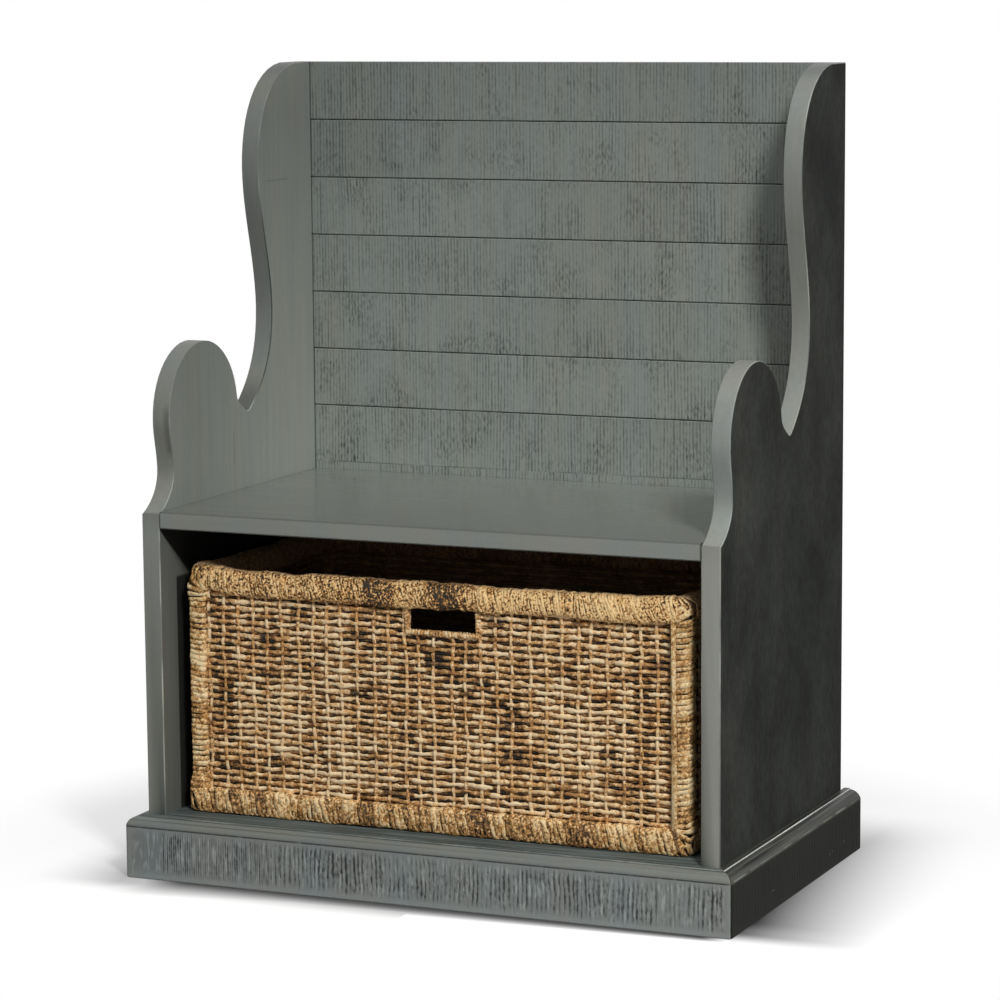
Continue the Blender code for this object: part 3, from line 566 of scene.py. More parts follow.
for node, finishes in (("plinth_front", (front_sawn, front_mould, front_step_worn_and_shaded, ledge_paint)),
                       ("plinth_left", (side_sawn, side_mould, side_step_worn_and_lit, side_mould)),
                       ("plinth_right", (side_sawn, side_mould, side_step_worn_and_lit, side_mould))):
    board = merged_copy(node, node + "_moulded")
    round_base(board.data)
    for surface in finishes:
        board.data.materials.append(surface)
    # Slot 1 is the moulding, 2 the upright step and 3 the level top; the face has slot 0.
    for face in board.data.polygons:
        if face.center.z > PLINTH_FACE_TOP:
            step = abs(face.normal.z) < 0.2 and face.center.z > PLINTH_STEP_FOOT
            face.material_index = 2 if step else 3 if face.normal.z > 0.95 else 1
    settle_shading(board, PLINTH_SMOOTH_ANGLE)
    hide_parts(node)
    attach(board, "bench")
finish_nodes(side_sawn, "plinth_back")

# Screws
# Zinc-plated countersunk screws that hold the plinth, under the bench and at the back.


def mottled(name, scale, detail, first, second, smooth, dull, depth, metallic=0.0):
    """A surface with fine mottling in its colour, gloss and relief."""
    made, shader, place = new_material(name)
    swirl = noise(place, scale, detail)
    shader.inputs["Metallic"].default_value = metallic
    rough = swirl.spread(0.3, 0.7, smooth, dull)
    dress(shader, blend_colours(swirl, first, second), rough, 0.5, swirl, depth)
    return made


zinc = mottled("zinc_plated_steel", 900.0, 4.0, (0.50, 0.51, 0.52), (0.70, 0.70, 0.68),
               smooth=0.28, dull=0.45, depth=0.00005, metallic=1.0)
finish_nodes(zinc, "plinth_screw_")

# Basket posts
# Black painted rods inside the corners, nearly hidden by the binding round them.

black_rod = mottled("black_painted_rod", 400.0, 3.0, (0.018, 0.017, 0.016), (0.05, 0.045, 0.04),
                    smooth=0.45, dull=0.6, depth=0.00008)
finish_nodes(black_rod, "basket_post_")

# Basket walls and floor
# Plain weave of flattened plant strands: the weavers lie level and pass in front of one stake and
# behind the next. Strands differ in shade from dark bark to straw, and gaps stay open between rows,
# backed by thinner dark strands as painted shade.

ROW_PITCH = 0.0086
FLOOR_ROW_PITCH = 0.0110
STAKE_PITCH = 0.0205
STAKE_UNEVENNESS = 0.015
STRAND_WIDTH = 0.0058
STRAND_THICKNESS = 0.0026
BACKING_WIDTH = 0.0050
BACKING_RECESS = 0.0024
STAKE_WIDTH = 0.0046
WEAVE_DEPTH = 0.0019
STAKE_DEPTH = 0.0009
RAGGED_EDGE = 0.0050
WANDER = 0.0042
WANDER_SHARES = (2.6, 0.35, 1.3)
WALL_OVERRUN = 0.003
BASKET_SLACK = 0.0044
HOLE_LEFT = -0.0318
HOLE_RIGHT = 0.0552
HOLE_DEPTH = 0.0276
HOLE_CUT = 0.005
HOLE_CUT_RIGHT = 0.004
# Painted shade: the inside of the basket is painted darker, most of all lower down.
BASKET_INSIDE = (0.185, 0.120, 0.085)
BASKET_INSIDE_TOP = (0.44, 0.285, 0.165)
REDDISH = (0.94, 0.83, 0.68)
FIBRE_RELIEF = 0.0014
FIBRE_FINENESS = 1500.0
FIBRE_LENGTHWISE = 55.0
FIBRE_TWIST = 300.0
FIBRE_SHADES = ((0.00, (0.040, 0.040, 0.039)), (0.10, (0.080, 0.049, 0.024)),
                (0.22, (0.145, 0.089, 0.045)), (0.50, (0.455, 0.262, 0.106)),
                (0.78, (0.80, 0.52, 0.235)), (1.00, (1.0, 0.88, 0.62)))


def shade_ramp(value, stops):
    node = value.tree.nodes.new("ShaderNodeValToRGB")
    points = node.color_ramp.elements
    while len(points) < len(stops):
        points.new(0.5)
    for point, (position, colour) in zip(points, stops):
        point.position = position
        point.color = (*colour, 1.0)
    feed(value.tree, node.inputs[0], value)
    return Field(value.tree, node.outputs[0])


def plant_fibre(name, lift, patch_scale, inside, warmth, grit=1.3, patches_at=()):
    """Strands of dried bark. Three attributes come with the mesh: shade, run and across.

    shade is the strand's own tone, run its length so far, and across the place in its section. lift
    makes all of it paler, and grit strengthens its flecks. The inside of the basket is painted darker,
    as painted shade, most of all lower down; inside gives the two distances from the middle of the
    front wall between which that begins, and the same two for the other walls. patches_at gives paler
    or darker stretches, each as a place along X, its half length and its change of tone.
    """
    made, shader, place = new_material(name)
    shade, run, across = (add_node(place.tree, "ShaderNodeAttribute", output=output, attribute_name=label)
                          for label, output in (("shade", "Fac"), ("run", "Fac"), ("across", "Vector")))
    deep, wide, _ = split(across)
    twist = (run * FIBRE_TWIST).maths("SINE") * 0.6
    fibres = noise_in(deep * FIBRE_FINENESS + twist, wide * FIBRE_FINENESS, run * FIBRE_LENGTHWISE, 4.0)
    patches = noise(place, patch_scale, 3.0)
    stains = noise(place, 130.0, 3.0)
    flecks = noise(place, 380.0, 2.0)
    nubs = noise(place, 170.0, 1.0).spread(0.71, 0.77) * 0.7
    value = (shade * 0.56 + (patches - 0.5) + (stains - 0.5) * 1.3 + (fibres - 0.5) * 0.8
             + (flecks - 0.5) * grit + nubs + lift)
    x, y, z = split(place)
    for middle, reach, change in patches_at:
        value = value + x.line(middle, reach * 0.8, reach * 1.2, change)
    colour = blend_colours(1.0, shade_ramp(value, FIBRE_SHADES), warmth, "MULTIPLY")
    reddish = noise(place, 48.0, 2.0).spread(0.56, 0.68)
    colour = blend_colours(reddish * 0.8, colour, REDDISH, "MULTIPLY")

    # Painted shade inside the basket, darkest lower down.
    back = y - basket_middle.y
    beyond_sides = abs(x - basket_middle.x) - inner_half.x
    beyond = beyond_sides.maths("MAXIMUM", back - inner_half.y - 0.0015)
    painted_inside_shade = (back * -1.0 - inner_half.y).fade(*inside[0]) * beyond.fade(*inside[1])
    top = z.spread(0.270, 0.335)
    painted_inside_shade = painted_inside_shade * (top * -0.18 + 0.90)
    dark = blend_colours(top, BASKET_INSIDE, BASKET_INSIDE_TOP)
    dress(shader, blend_colours(painted_inside_shade, colour, dark), fibres.spread(0.25, 0.75, 0.5, 0.78), 0.3,
          fibres * 0.6 + flecks * 0.6, FIBRE_RELIEF)
    return made


def make_tree(name, values):
    """A node tree with a geometry input and output, a material input, and one for each named value."""
    tree = bpy.data.node_groups.new(name, "GeometryNodeTree")
    tree.interface.new_socket("Geometry", in_out="OUTPUT", socket_type="NodeSocketGeometry")
    tree.interface.new_socket("Geometry", in_out="INPUT", socket_type="NodeSocketGeometry")
    for label, value in values.items():
        kind = "NodeSocketInt" if isinstance(value, int) else "NodeSocketFloat"
        tree.interface.new_socket(label, in_out="INPUT", socket_type=kind).default_value = value
    tree.interface.new_socket("Surface", in_out="INPUT", socket_type="NodeSocketMaterial")
    entry = tree.nodes.new("NodeGroupInput")
    given = {socket.name: Field(tree, socket) for socket in entry.outputs if socket.name}
    return tree, given


def end_tree(tree, surface, *geometries):
    """Join the parts, make their instances real, give them the material and lead them out."""
    joint = tree.nodes.new("GeometryNodeJoinGeometry")
    for geometry in geometries:
        tree.links.new(geometry.socket, joint.inputs[0])
    geometry = Field(tree, joint.outputs[0])
    geometry = add_node(tree, "GeometryNodeRealizeInstances", {"Geometry": geometry})
    geometry = add_node(tree, "GeometryNodeSetMaterial", {"Geometry": geometry, "Material": surface})
    leave = tree.nodes.new("NodeGroupOutput")
    feed(tree, leave.inputs[0], geometry)


def store(geometry, name, value, kind="FLOAT"):
    return add_node(geometry.tree, "GeometryNodeStoreNamedAttribute",
                    {"Geometry": geometry, "Name": name, "Value": value}, data_type=kind, domain="POINT")


def moved(geometry, *offsets):
    for offset in offsets:
        inputs = {"Geometry": geometry, "Offset": offset}
        geometry = add_node(geometry.tree, "GeometryNodeSetPosition", inputs)
    return geometry


def to_curve(mesh):
    return add_node(mesh.tree, "GeometryNodeMeshToCurve", {"Mesh": mesh})


def sweep(curves, section, **inputs):
    return add_node(curves.tree, "GeometryNodeCurveToMesh",
                    {"Curve": curves, "Profile Curve": section, "Fill Caps": True, **inputs})


def random_value(tree, number, seed):
    return add_node(tree, "FunctionNodeRandomValue", {2: 0.0, 3: 1.0, "ID": number, "Seed": seed}, output=1,
                    data_type="FLOAT")


def oval(tree, depth, height, sides):
    ring = add_node(tree, "GeometryNodeCurvePrimitiveCircle", {"Resolution": sides, "Radius": 0.5})
    return add_node(tree, "GeometryNodeTransform", {"Geometry": ring, "Scale": vector(depth, height, 1.0)})


def strand_section(tree, width, thickness, sides=6):
    """The flattened round section of a strand, which keeps its own coordinates in across."""
    place = add_node(tree, "GeometryNodeInputPosition")
    return store(oval(tree, thickness, width, sides), "across", place, "FLOAT_VECTOR")


def lay_strands(curves, normal, section, fatness, shade, run):
    """Sweep a section along curves whose flat side faces the normal."""
    tree = curves.tree
    curves = store(store(curves, "shade", shade), "run", run)
    curves = add_node(tree, "GeometryNodeSetCurveNormal", {"Curve": curves, "Normal": normal}, mode="FREE")
    strands = sweep(curves, section, Scale=fatness)
    return add_node(tree, "GeometryNodeSetShadeSmooth", {"Geometry": strands})


def weave_tree():
    """Weavers and stakes in the XZ plane, from -Width / 2 to Width / 2 and from 0 to Height.

    A layer of thinner, darker strands lies behind the gaps between the rows, as painted shade in the gaps.
    """
    tree, given = make_tree("plain_weave", {
        "Width": 0.6, "Height": 0.24, "Row Pitch": ROW_PITCH, "Stake Pitch": STAKE_PITCH,
        "Strand Width": STRAND_WIDTH, "Strand Thickness": STRAND_THICKNESS, "Stake Width": STAKE_WIDTH,
        "Weave Depth": WEAVE_DEPTH, "Stake Depth": STAKE_DEPTH, "Backing Width": BACKING_WIDTH,
        "Backing Recess": BACKING_RECESS, "Wander": WANDER, "Unevenness": STAKE_UNEVENNESS,
        "Hole Left": 0.0, "Hole Right": 0.0, "Hole Sill": 9.0, "Seed": 1})
    width = given["Width"]
    height = given["Height"]
    row_pitch = given["Row Pitch"]
    stake_pitch = given["Stake Pitch"]
    thickness = given["Strand Thickness"]
    seed = given["Seed"]
    facing = (0.0, 1.0, 0.0)
    position = add_node(tree, "GeometryNodeInputPosition")
    flat = add_node(tree, "GeometryNodeInputNamedAttribute", {"Name": "flat"}, data_type="FLOAT_VECTOR")
    x, _, z = split(flat)
    row = (z / row_pitch).floor()
    stake = (x / stake_pitch + 0.5).floor()
    ends = (x / width * 2.0).maths("POWER", 4.0).cut()
    sway = noise_in(x * 30.0, seed * 1.9, 0.0, 2.0) - 0.5
    uneven = vector(sway * ends * given["Unevenness"], 0.0, 0.0)
    drift = noise_in(x * 22.0, seed * 3.1, z * 22.0, 2.0).other("Color")
    drift = vector_maths("SUBTRACT", drift, (0.5, 0.5, 0.5))
    drift = vector_maths("MULTIPLY", vector_maths("SCALE", drift, given["Wander"]), WANDER_SHARES)

    def strands(count, start, step, line_count, line_step):
        """Parallel lines of points, with the finger hole left out."""
        line = add_node(tree, "GeometryNodeMeshLine", {"Count": line_count, "Offset": line_step})
        starts = add_node(tree, "GeometryNodeMeshLine", {
            "Count": count, "Start Location": start, "Offset": step})
        lines = add_node(tree, "GeometryNodeInstanceOnPoints", {"Points": starts, "Instance": line})
        lines = add_node(tree, "GeometryNodeRealizeInstances", {"Geometry": lines})
        lines = moved(store(lines, "flat", position, "FLOAT_VECTOR"), uneven)
        across, _, up = split(position)
        inside = across.above(given["Hole Left"]) * across.below(given["Hole Right"])
        inside = inside * up.above(given["Hole Sill"])
        return add_node(tree, "GeometryNodeDeleteGeometry", {"Geometry": lines, "Selection": inside},
                        domain="POINT")

    step = stake_pitch / 8.0
    row_count = (height / row_pitch).floor()
    left = width * -0.5
    upward = vector(0.0, 0.0, row_pitch)
    rows = strands(row_count, vector(left, 0.0, row_pitch * 0.5), upward,
                   (width / step).floor() + 1.0, vector(step, 0.0, 0.0))
    turn = (x / stake_pitch * pi).maths("COSINE")
    swap = row.maths("FLOORED_MODULO", 2.0) * 2.0 - 1.0
    ragged = noise_in(x * 160.0, row * 5.3, seed * 7.0, 2.0)
    depth = vector(0.0, turn * swap * given["Weave Depth"], (ragged - 0.5) * RAGGED_EDGE)
    fat = noise_in(x * 120.0, row * 9.1, seed * 5.0, 3.0).spread(0.3, 0.7, 0.66, 1.24)
    column = random_value(tree, stake * 7.0, seed + 40)
    own = random_value(tree, row * 131.0 + stake, seed) * 0.72 + column * 0.28
    barky = random_value(tree, row * 57.0 + stake * 3.0, seed + 60).below(0.13)
    own = own - barky * 0.75
    section = strand_section(tree, given["Strand Width"], thickness)
    weavers = lay_strands(to_curve(moved(rows, depth, drift)), facing, section,
                          fat * (column * 0.3 + 0.85), own, x + row * 0.37)

    # Dark backing strands behind the gaps, as painted shade.
    coarse = stake_pitch / 3.0
    backing = strands(row_count, vector(left, 0.0, row_pitch), upward,
                      (width / coarse).floor() + 1.0, vector(coarse, 0.0, 0.0))
    recess = vector(0.0, given["Backing Recess"], 0.0)
    section = strand_section(tree, given["Backing Width"], thickness, 4)
    backing = lay_strands(to_curve(moved(backing, drift, recess)), facing, section,
                          fat, own * 0.6 - 0.95, x + row * 0.29)

    first = (width / stake_pitch * 0.5).floor() * stake_pitch * -1.0
    rise = row_pitch / 4.0
    stakes = strands((width / stake_pitch).floor() + 1.0, vector(first, 0.0, 0.0),
                     vector(stake_pitch, 0.0, 0.0), (height / rise).floor() + 1.0, vector(0.0, 0.0, rise))
    crossing = turn * ((z / row_pitch - 0.5) * pi).maths("COSINE")
    depth = vector(0.0, crossing * given["Stake Depth"], 0.0)
    stout = noise_in(z * 110.0, stake * 3.7, seed * 2.0, 3.0).spread(0.3, 0.7, 0.75, 1.2)
    pale = random_value(tree, stake * 1009.0 + row, seed).maths("POWER", 4.0) * 1.1 + 0.25
    section = strand_section(tree, given["Stake Width"], thickness)
    uprights = lay_strands(to_curve(moved(stakes, depth, drift)), facing, section,
                           stout, pale, z + stake * 0.41)
    end_tree(tree, given["Surface"], weavers, backing, uprights)
    return tree


def grow(name, tree, settings, carrier_mesh=None):
    """Run a node tree on a mesh and keep what it makes as a plain object."""
    carrier = add_object(name + "_carrier", carrier_mesh or bpy.data.meshes.new(name))
    modifier = carrier.modifiers.new("grow", "NODES")
    modifier.node_group = tree
    for item in tree.interface.items_tree:
        if item.in_out == "INPUT" and item.name in settings:
            modifier[item.identifier] = settings[item.name]
    graph = bpy.context.evaluated_depsgraph_get()
    mesh = bpy.data.meshes.new_from_object(carrier.evaluated_get(graph), preserve_all_data_layers=True,
                                           depsgraph=graph)
    bpy.data.objects.remove(carrier)
    mesh.name = name
    return add_object(name, mesh)


def keep_basket_piece(piece, *nodes):
    """The woven basket is a little slack in its width; its left end stays in place."""
    piece.data.transform(narrowing)
    if nodes:
        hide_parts(*nodes)
    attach(piece, "basket")


rim_low, rim_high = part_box("basket_rim")
left_end = Vector((rim_low.x, 0.0, 0.0))
narrower = Matrix.Scale(1.0 - BASKET_SLACK / (rim_high.x - rim_low.x), 4, (1, 0, 0))
narrowing = Matrix.Translation(left_end) @ narrower @ Matrix.Translation(-left_end)
basket_middle = (rim_low + rim_high) / 2
basket_middle.x -= BASKET_SLACK / 2
right_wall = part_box("basket_wall_right")
back_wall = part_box("basket_wall_back")
inner_half = Vector(((right_wall[0].x + right_wall[1].x) / 2 - basket_middle.x - BASKET_SLACK,
                     (back_wall[0].y + back_wall[1].y) / 2 - basket_middle.y))
wall_inside = ((-0.0050, -0.0036), (-0.0005, 0.0015))
wall_fibre = plant_fibre("woven_strands", lift=0.590, patch_scale=9.0, inside=wall_inside,
                         warmth=(1.0, 0.890, 0.785))
plain_weave = weave_tree()

for seed, (node, turn) in enumerate((("basket_wall_front", 0), ("basket_wall_right", 90),
                                     ("basket_wall_back", 180), ("basket_wall_left", 270)), 3):
    low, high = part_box(node)
    size = high - low
    settings = {"Width": (size.y if turn % 180 else size.x) + 2 * WALL_OVERRUN,
                "Height": size.z + WALL_OVERRUN + ROW_PITCH, "Seed": seed, "Surface": wall_fibre}
    if node == "basket_wall_front":
        settings.update({"Hole Left": HOLE_LEFT - HOLE_CUT, "Hole Right": HOLE_RIGHT + HOLE_CUT_RIGHT,
                         "Hole Sill": size.z - HOLE_DEPTH - HOLE_CUT})
    wall = grow(node.replace("basket_wall", "woven_wall"), plain_weave, settings)
    middle = (low + high) / 2
    foot = Matrix.Translation((middle.x, middle.y, low.z - WALL_OVERRUN / 2))
    wall.data.transform(foot @ Matrix.Rotation(radians(turn), 4, "Z"))
    keep_basket_piece(wall, node)

low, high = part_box("basket_floor")
size = high - low
middle = (low + high) / 2
woven_floor = grow("woven_floor", plain_weave, {
    "Width": size.x + WALL_OVERRUN, "Height": size.y + WALL_OVERRUN, "Row Pitch": FLOOR_ROW_PITCH,
    "Seed": 11, "Surface": wall_fibre})
back_edge = Matrix.Translation((middle.x, high.y + WALL_OVERRUN / 2, middle.z))
woven_floor.data.transform(back_edge @ Matrix.Rotation(radians(90), 4, "X"))
keep_basket_piece(woven_floor, "basket_floor")

# Basket bindings
# A strand wound round and round the rim, the base band, the corners and the finger hole, over a core
# kept near black as painted shade in the splits. The rim sags a little between the posts, and it is
# darker beside the finger hole.

WRAP_POINTS = 18
RIM_CORNER = 0.010
RIM_SAG = 0.0025
SAG_START = 0.02
SAG_RUN = 0.03
RIM_PATCHES = ((-0.305, 0.020, 0.12), (-0.073, 0.021, -0.60), (-0.027, 0.014, 0.10), (0.022, 0.034, -0.42),
               (0.205, 0.135, 0.31))
CORNER_RISE = 0.0030
ELBOW_RADIUS = 0.014
BINDING_PROUD = 0.0015
HOLE_BINDING_OUT = 0.004
HOLE_BINDING_OUT_RIGHT = 0.003


def binding_tree():
    """One strand wound along the carrier's edges, with an oval or rounded square section."""
    tree, given = make_tree("wound_binding", {
        "Section Depth": 0.03, "Section Height": 0.03, "Squareness": 0.6, "Wrap Pitch": 0.0036,
        "Strand Width": 0.0044, "Strand Thickness": 0.0022, "Lean": 0.003, "Wander": 0.0012,
        "End Growth": 0.0, "Seed": 1})
    seed = given["Seed"]
    wander = given["Wander"]
    thickness = given["Strand Thickness"]
    path = to_curve(given["Geometry"])
    length = add_node(tree, "GeometryNodeCurveLength", {"Curve": path})
    wraps = (length / given["Wrap Pitch"]).floor()
    coil = to_curve(add_node(tree, "GeometryNodeMeshLine", {"Count": wraps * WRAP_POINTS + 1.0}))
    turns = add_node(tree, "GeometryNodeInputIndex") / float(WRAP_POINTS)
    share = turns / wraps
    angle = turns * (2 * pi)
    across = angle.maths("COSINE")
    upward = angle.maths("SINE")
    slow = noise_in(share * length * 26.0, seed * 1.7, 0.0, 3.0)
    quick = noise_in(share * length * 330.0, seed * 1.3, upward * 0.8, 2.0)
    lean = given["Lean"] * ((slow - 0.35) * 4.0) * upward + (quick - 0.5) * wander * 1.6
    factor = (share + lean / length).maths("WRAP", 1.0, 0.0)
    sample = add_node(tree, "GeometryNodeSampleCurve", {"Curves": path, "Factor": factor}, output="Position",
                      mode="FACTOR")
    outward = sample.other("Normal")
    binormal = vector_maths("CROSS_PRODUCT", sample.other("Tangent"), outward)

    def squared(value, size):
        """A superellipse's reach along one axis."""
        reach = value.maths("ABSOLUTE").maths("POWER", given["Squareness"]) * value.maths("SIGN")
        return reach * size * 0.5

    swell = (slow - 0.5) * wander * 1.6 + (quick - 0.5) * wander * 1.1
    grown = abs(share - 0.5).spread(0.36, 0.45) * given["End Growth"] + 1.0
    deep = squared(across, given["Section Depth"] - thickness) * grown + across * swell
    tall = squared(upward, given["Section Height"] - thickness) * grown + upward * swell
    offset = vector_maths("ADD", vector_maths("SCALE", outward, deep), vector_maths("SCALE", binormal, tall))
    coil = add_node(tree, "GeometryNodeSetPosition", {
        "Geometry": coil, "Position": vector_maths("ADD", sample, offset)})
    own = random_value(tree, (turns + 0.5).floor(), seed)
    fat = noise_in(turns * 5.3, seed * 2.3, 0.5, 2.0).spread(0.3, 0.7, 0.62, 1.22)
    section = strand_section(tree, given["Strand Width"], thickness)
    winding = lay_strands(coil, vector_maths("NORMALIZE", offset), section, fat, own, turns * 0.083)
    # The core is near black, as painted shade in the splits between the wraps.
    sunk = thickness * 2.2
    core = sweep(path, oval(tree, given["Section Depth"] - sunk, given["Section Height"] - sunk, 12))
    end_tree(tree, given["Surface"], winding, store(core, "shade", -1.2))
    return tree


def line_mesh(name, points, closed=False):
    mesh = bpy.data.meshes.new(name)
    edges = [(index, index + 1) for index in range(len(points) - 1)]
    if closed:
        edges.append((len(points) - 1, 0))
    mesh.from_pydata(points, edges, [])
    return mesh


def ring_points(half_width, half_depth, radius, centre, steps=8):
    """A level rounded rectangle, from the middle of its back, anticlockwise."""
    points = []
    for index, (right, back) in enumerate(((1, 1), (-1, 1), (-1, -1), (1, -1))):
        corner = (centre[0] + right * (half_width - radius), centre[1] + back * (half_depth - radius))
        for step in range(steps + 1):
            angle = (index + step / steps) * pi / 2
            points.append((corner[0] + radius * cos(angle), corner[1] + radius * sin(angle), centre[2]))
    return points


def sagged(points, middle):
    """The rim sags a little between the posts, a little unevenly, and is highest at the front left."""
    finer = []
    for start, end in zip(points, points[1:] + points[:1]):
        steps = max(1, round((Vector(end) - Vector(start)).length / 0.01))
        for step in range(steps):
            x, y, z = Vector(start).lerp(Vector(end), step / steps)
            across = (inner_half.x - SAG_START - abs(x - middle.x)) / SAG_RUN
            along = (inner_half.y - SAG_START - abs(y - middle.y)) / SAG_RUN
            share = min(1.0, max(0.0, across, along))
            sag = share ** 2 * (3 - 2 * share)
            wave = 0.0006 * sin(x * 43.0 + y * 31.0) + 0.0005 * sin(x * 97.0 - y * 59.0)
            rise = CORNER_RISE if x < middle.x and y < middle.y else 0.0
            finer.append((x, y, z + rise + (wave - RIM_SAG - rise) * sag))
    return finer


wound_binding = binding_tree()
binding_inside = ((-0.006, 0.003), (0.004, 0.010))
corner_inside = ((-0.012, -0.006), (-0.004, 0.002))
rim_fibre = plant_fibre("rim_strands", lift=0.45, patch_scale=30.0, inside=binding_inside,
                        warmth=(1.0, 0.81, 0.575), grit=5.4, patches_at=RIM_PATCHES)
band_fibre = plant_fibre("band_strands", lift=0.40, patch_scale=20.0, inside=binding_inside,
                         warmth=(1.0, 0.88, 0.71), grit=2.7)
corner_fibre = plant_fibre("corner_strands", lift=0.51, patch_scale=16.0, inside=corner_inside,
                           warmth=(1.0, 0.90, 0.745), grit=1.9)

for name, node, surface, squareness, thick, wider, aside, settings in (
        ("bound_rim", "basket_rim", rim_fibre, 0.62, 0.029, -0.0005, -0.0010,
         {"Seed": 5, "Wrap Pitch": 0.0037, "Strand Width": 0.0048, "Lean": 0.006, "Wander": 0.0034}),
        ("bound_base_band", "basket_base_band", band_fibre, 0.5, 0.017, 0.0010, -0.0028,
         {"Seed": 8, "Wrap Pitch": 0.0070, "Strand Width": 0.0094, "Lean": 0.004, "Wander": 0.0036})):
    low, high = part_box(node)
    middle = (low + high) / 2 + Vector((aside, 0.0, 0.0))
    half = (high - low) / 2 + Vector((wider, BINDING_PROUD, 0.0)) - Vector((thick, thick, 0.0)) / 2
    points = ring_points(half.x, half.y, RIM_CORNER, middle)
    if node == "basket_rim":
        points = sagged(points, middle)
    binding = grow(name, wound_binding, {"Section Depth": thick, "Section Height": high.z - low.z,
                                         "Squareness": squareness, "Surface": surface, **settings},
                   line_mesh(name + "_path", points, True))
    keep_basket_piece(binding, node)

foot_middle = sum(corner.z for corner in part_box("basket_base_band")) / 2
elbows = ([(radians(80 - step * 10), foot_middle, ELBOW_RADIUS) for step in range(9)]
          + [(radians(step * 10), basket_middle.z, -ELBOW_RADIUS) for step in range(9)])
for label in ("front_left", "front_right", "back_left", "back_right"):
    low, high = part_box("basket_corner_wrap_" + label)
    middle = (low + high) / 2
    inward = ELBOW_RADIUS if middle.x < basket_middle.x else -ELBOW_RADIUS
    points = [(middle.x + inward * (1 - cos(turn)), middle.y, level + upward * (1 - sin(turn)))
              for turn, level, upward in elbows]
    binding = grow("bound_corner_" + label, wound_binding, {
        "Section Depth": high.x - low.x, "Section Height": high.y - low.y, "Squareness": 0.5,
        "End Growth": 0.26, "Wrap Pitch": 0.0066, "Strand Width": 0.0080, "Strand Thickness": 0.0024,
        "Lean": 0.0022, "Seed": 21 + len(label), "Surface": corner_fibre}, line_mesh("corner_path", points))
    keep_basket_piece(binding, "basket_corner_wrap_" + label)

low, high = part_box("basket_wall_front")
left = HOLE_LEFT - HOLE_BINDING_OUT
right = HOLE_RIGHT + HOLE_BINDING_OUT_RIGHT
sill = high.z - HOLE_DEPTH - HOLE_BINDING_OUT
top = high.z + 0.002
depth = (low.y + high.y) / 2
hole_path = line_mesh("hole_path", [(left, depth, top), (left, depth, sill), (right, depth, sill),
                                    (right, depth, top)])
hole_binding = grow("finger_hole_binding", wound_binding, {
    "Section Depth": 0.008, "Section Height": 0.010, "Squareness": 0.8, "Wrap Pitch": 0.0040,
    "Strand Width": 0.0046, "Strand Thickness": 0.0018, "Lean": 0.001, "Wander": 0.0006, "Seed": 31,
    "Surface": wall_fibre}, hole_path)
keep_basket_piece(hole_binding)

# Floor and background
# A white floor that fades into a white surround. Besides the shadow that the lamps give, a painted
# shadow darkens its colour beside the plinth and in front of it.

FLOOR_REACH = 9.0
PLINTH_SIDE_FACE = 0.3985
PLINTH_FRONT_FACE = 0.2398
RIGHT_SHADOW_REACH = 0.1615
LEFT_SHADOW_REACH = 0.13
FADE_START = 0.58
FADE_END = 0.80

floor_material, shader, place = new_material("white_floor")
tree = place.tree
shader.inputs["Roughness"].default_value = 0.9
shader.inputs["Specular IOR Level"].default_value = 0.0
seen = add_node(tree, "ShaderNodeLightPath", output="Is Camera Ray")
x, y, _ = split(place)
# Each part of the painted shadow is a run along x times a run along y, both set by the photograph's shadow.
right_reach = ((x - PLINTH_SIDE_FACE) / RIGHT_SHADOW_REACH).spread(0.0, 1.0, 1.0, 0.0, soft=False)
right = (right_reach.maths("POWER", y.spread(-0.20, 0.25, 1.02, 2.1, soft=False))
         * y.spread(-0.20, 0.25, 0.98, 0.475, soft=False) * x.above(0.0)
         * y.spread(-0.255, -0.205) * y.spread(-0.20, -0.15, 0.86, 1.0) * y.fade(0.24, 0.45))
left_reach = ((x * -1.0 - PLINTH_SIDE_FACE) / LEFT_SHADOW_REACH).spread(0.0, 1.0, 1.0, 0.0, soft=False)
left = (left_reach.maths("POWER", 1.6) * y.spread(-0.26, -0.22, 0.47, 0.56) * x.below(0.0)
        * y.spread(-0.310, -0.255) * y.fade(0.20, 0.40))
strip_width = (x.spread(-0.35, 0.40, 0.058, 0.016, soft=False)
               + x.spread(-0.35, -0.15, 0.016, 0.0, soft=False))
strip = ((y + PLINTH_FRONT_FACE) * -1.0 / strip_width).spread(0.0, 1.0, soft=False)
strip = strip.maths("POWER", x.spread(-0.35, 0.0, 1.2, 2.0)) * -0.90 + 0.90
front = strip * x.spread(-0.440, -0.310) * x.fade(0.360, 0.405) * y.below(-0.232)
shadow = right.maths("MAXIMUM", left).maths("MAXIMUM", front) * 1.06
floor_tone = seen * (shadow * -0.53 + 0.10) + 0.45
feed(tree, shader.inputs["Base Color"], vector(floor_tone, floor_tone, floor_tone))
lift = add_node(tree, "ShaderNodeEmission", {"Strength": seen * 0.62 * shadow.cut(0.97)})
lit = add_node(tree, "ShaderNodeAddShader", {0: Field(tree, shader.outputs[0]), 1: lift})
white = add_node(tree, "ShaderNodeEmission", {"Strength": 1.0})
away = vector_maths("LENGTH", place, output="Value")
fade = away.spread(FADE_START, FADE_END) * seen
surface = add_node(tree, "ShaderNodeMixShader", {0: fade, 1: lit, 2: white})
feed(tree, tree.nodes["Material Output"].inputs["Surface"], surface)
mesh = bpy.data.meshes.new("studio_floor")
corners = [(side * FLOOR_REACH, back * FLOOR_REACH, 0) for side, back in ((-1, -1), (1, -1), (1, 1), (-1, 1))]
mesh.from_pydata(corners, [], [(0, 1, 2, 3)])
mesh.materials.append(floor_material)
add_object("studio_floor", mesh)

# Light
# A tall soft key from the front right, a wide soft light overhead, and a weak fill that comes
# mostly from above.

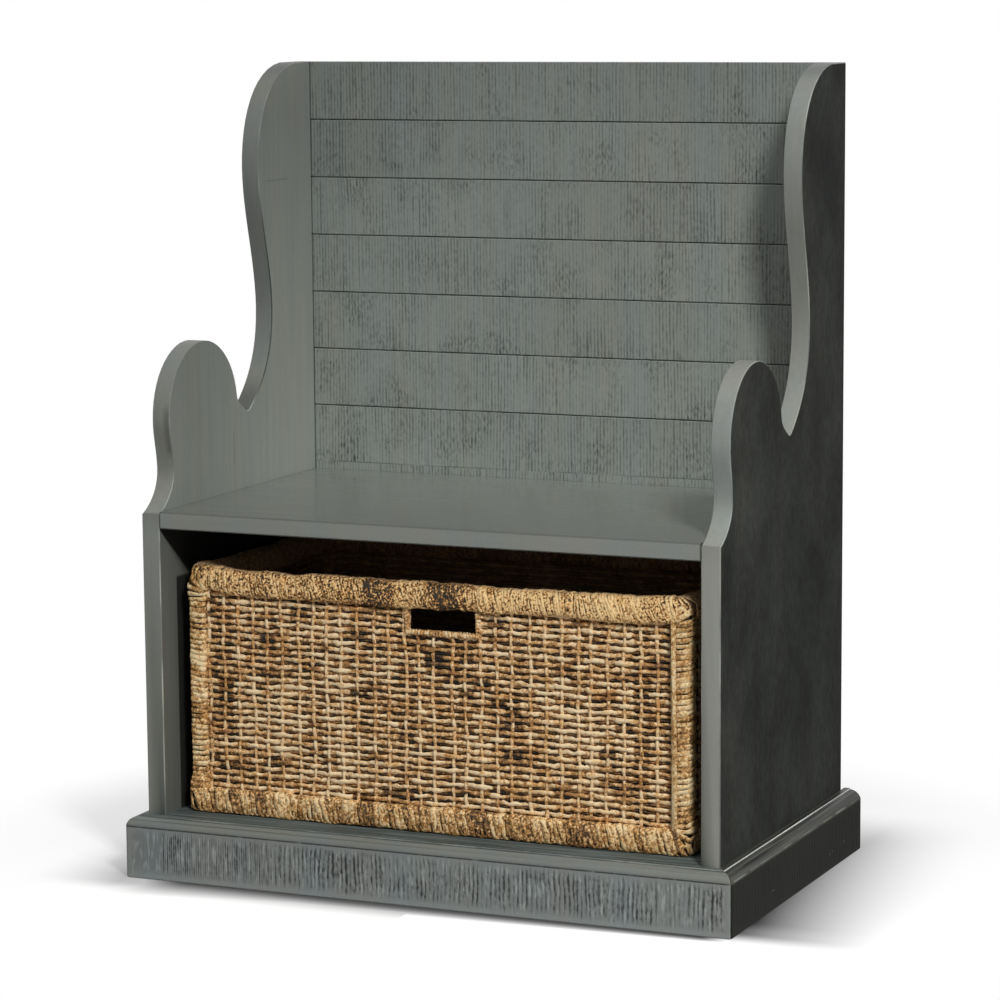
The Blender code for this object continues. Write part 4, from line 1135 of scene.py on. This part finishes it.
world = bpy.data.worlds.new("studio")
bpy.context.scene.world = world
world.use_nodes = True
tree = world.node_tree
paths = add_node(tree, "ShaderNodeLightPath", output="Is Camera Ray")
direct = paths.maths("MAXIMUM", paths.other("Is Glossy Ray"))
direct = direct.maths("MAXIMUM", paths.other("Is Transmission Ray"))
sky = add_node(tree, "ShaderNodeTexCoord", output="Generated")
fill = split(sky)[2].spread(-0.1, 0.9, 0.04, 0.26, soft=False)
background = tree.nodes["Background"]
background.inputs["Color"].default_value = (1.0, 1.0, 1.0, 1.0)
feed(tree, background.inputs["Strength"], fill.maths("MAXIMUM", direct))


def soft_light(name, place, target, width, height, power):
    lamp = bpy.data.lights.new(name, "AREA")
    lamp.shape = "RECTANGLE"
    lamp.size = width
    lamp.size_y = height
    lamp.energy = power
    made = add_object(name, lamp)
    made.location = place
    made.rotation_euler = (Vector(target) - Vector(place)).to_track_quat("-Z", "Y").to_euler()


soft_light("key", place=(2.035, -2.513, 2.68), target=(0.0, 0.0, 0.5), width=0.5, height=0.8, power=100)
soft_light("overhead", place=(0.0, -0.7, 3.2), target=(0.0, -0.3, 0.0), width=2.0, height=0.5, power=18)

# Camera
# A long lens at the photograph's place, a little above the seat and to the right.

CAMERA_PLACE = (1.79681, -4.10388, 1.10515)
CAMERA_YAW = radians(24.034)
CAMERA_PITCH = radians(8.798)
CAMERA_ROLL = radians(-0.509)
CAMERA_LENS = 131.763
CAMERA_SHIFT = (0.02957, 0.03896)

lens = bpy.data.cameras.new("camera")
lens.lens = CAMERA_LENS
lens.sensor_width = 36.0
lens.shift_x, lens.shift_y = CAMERA_SHIFT
lens.clip_start = 0.05
camera = add_object("camera", lens)
turn = (Matrix.Rotation(CAMERA_YAW, 4, "Z") @ Matrix.Rotation(pi / 2 - CAMERA_PITCH, 4, "X")
        @ Matrix.Rotation(CAMERA_ROLL, 4, "Z"))
camera.matrix_world = Matrix.Translation(CAMERA_PLACE) @ turn
bpy.context.scene.camera = camera
bpy.context.scene.view_settings.view_transform = "Standard"
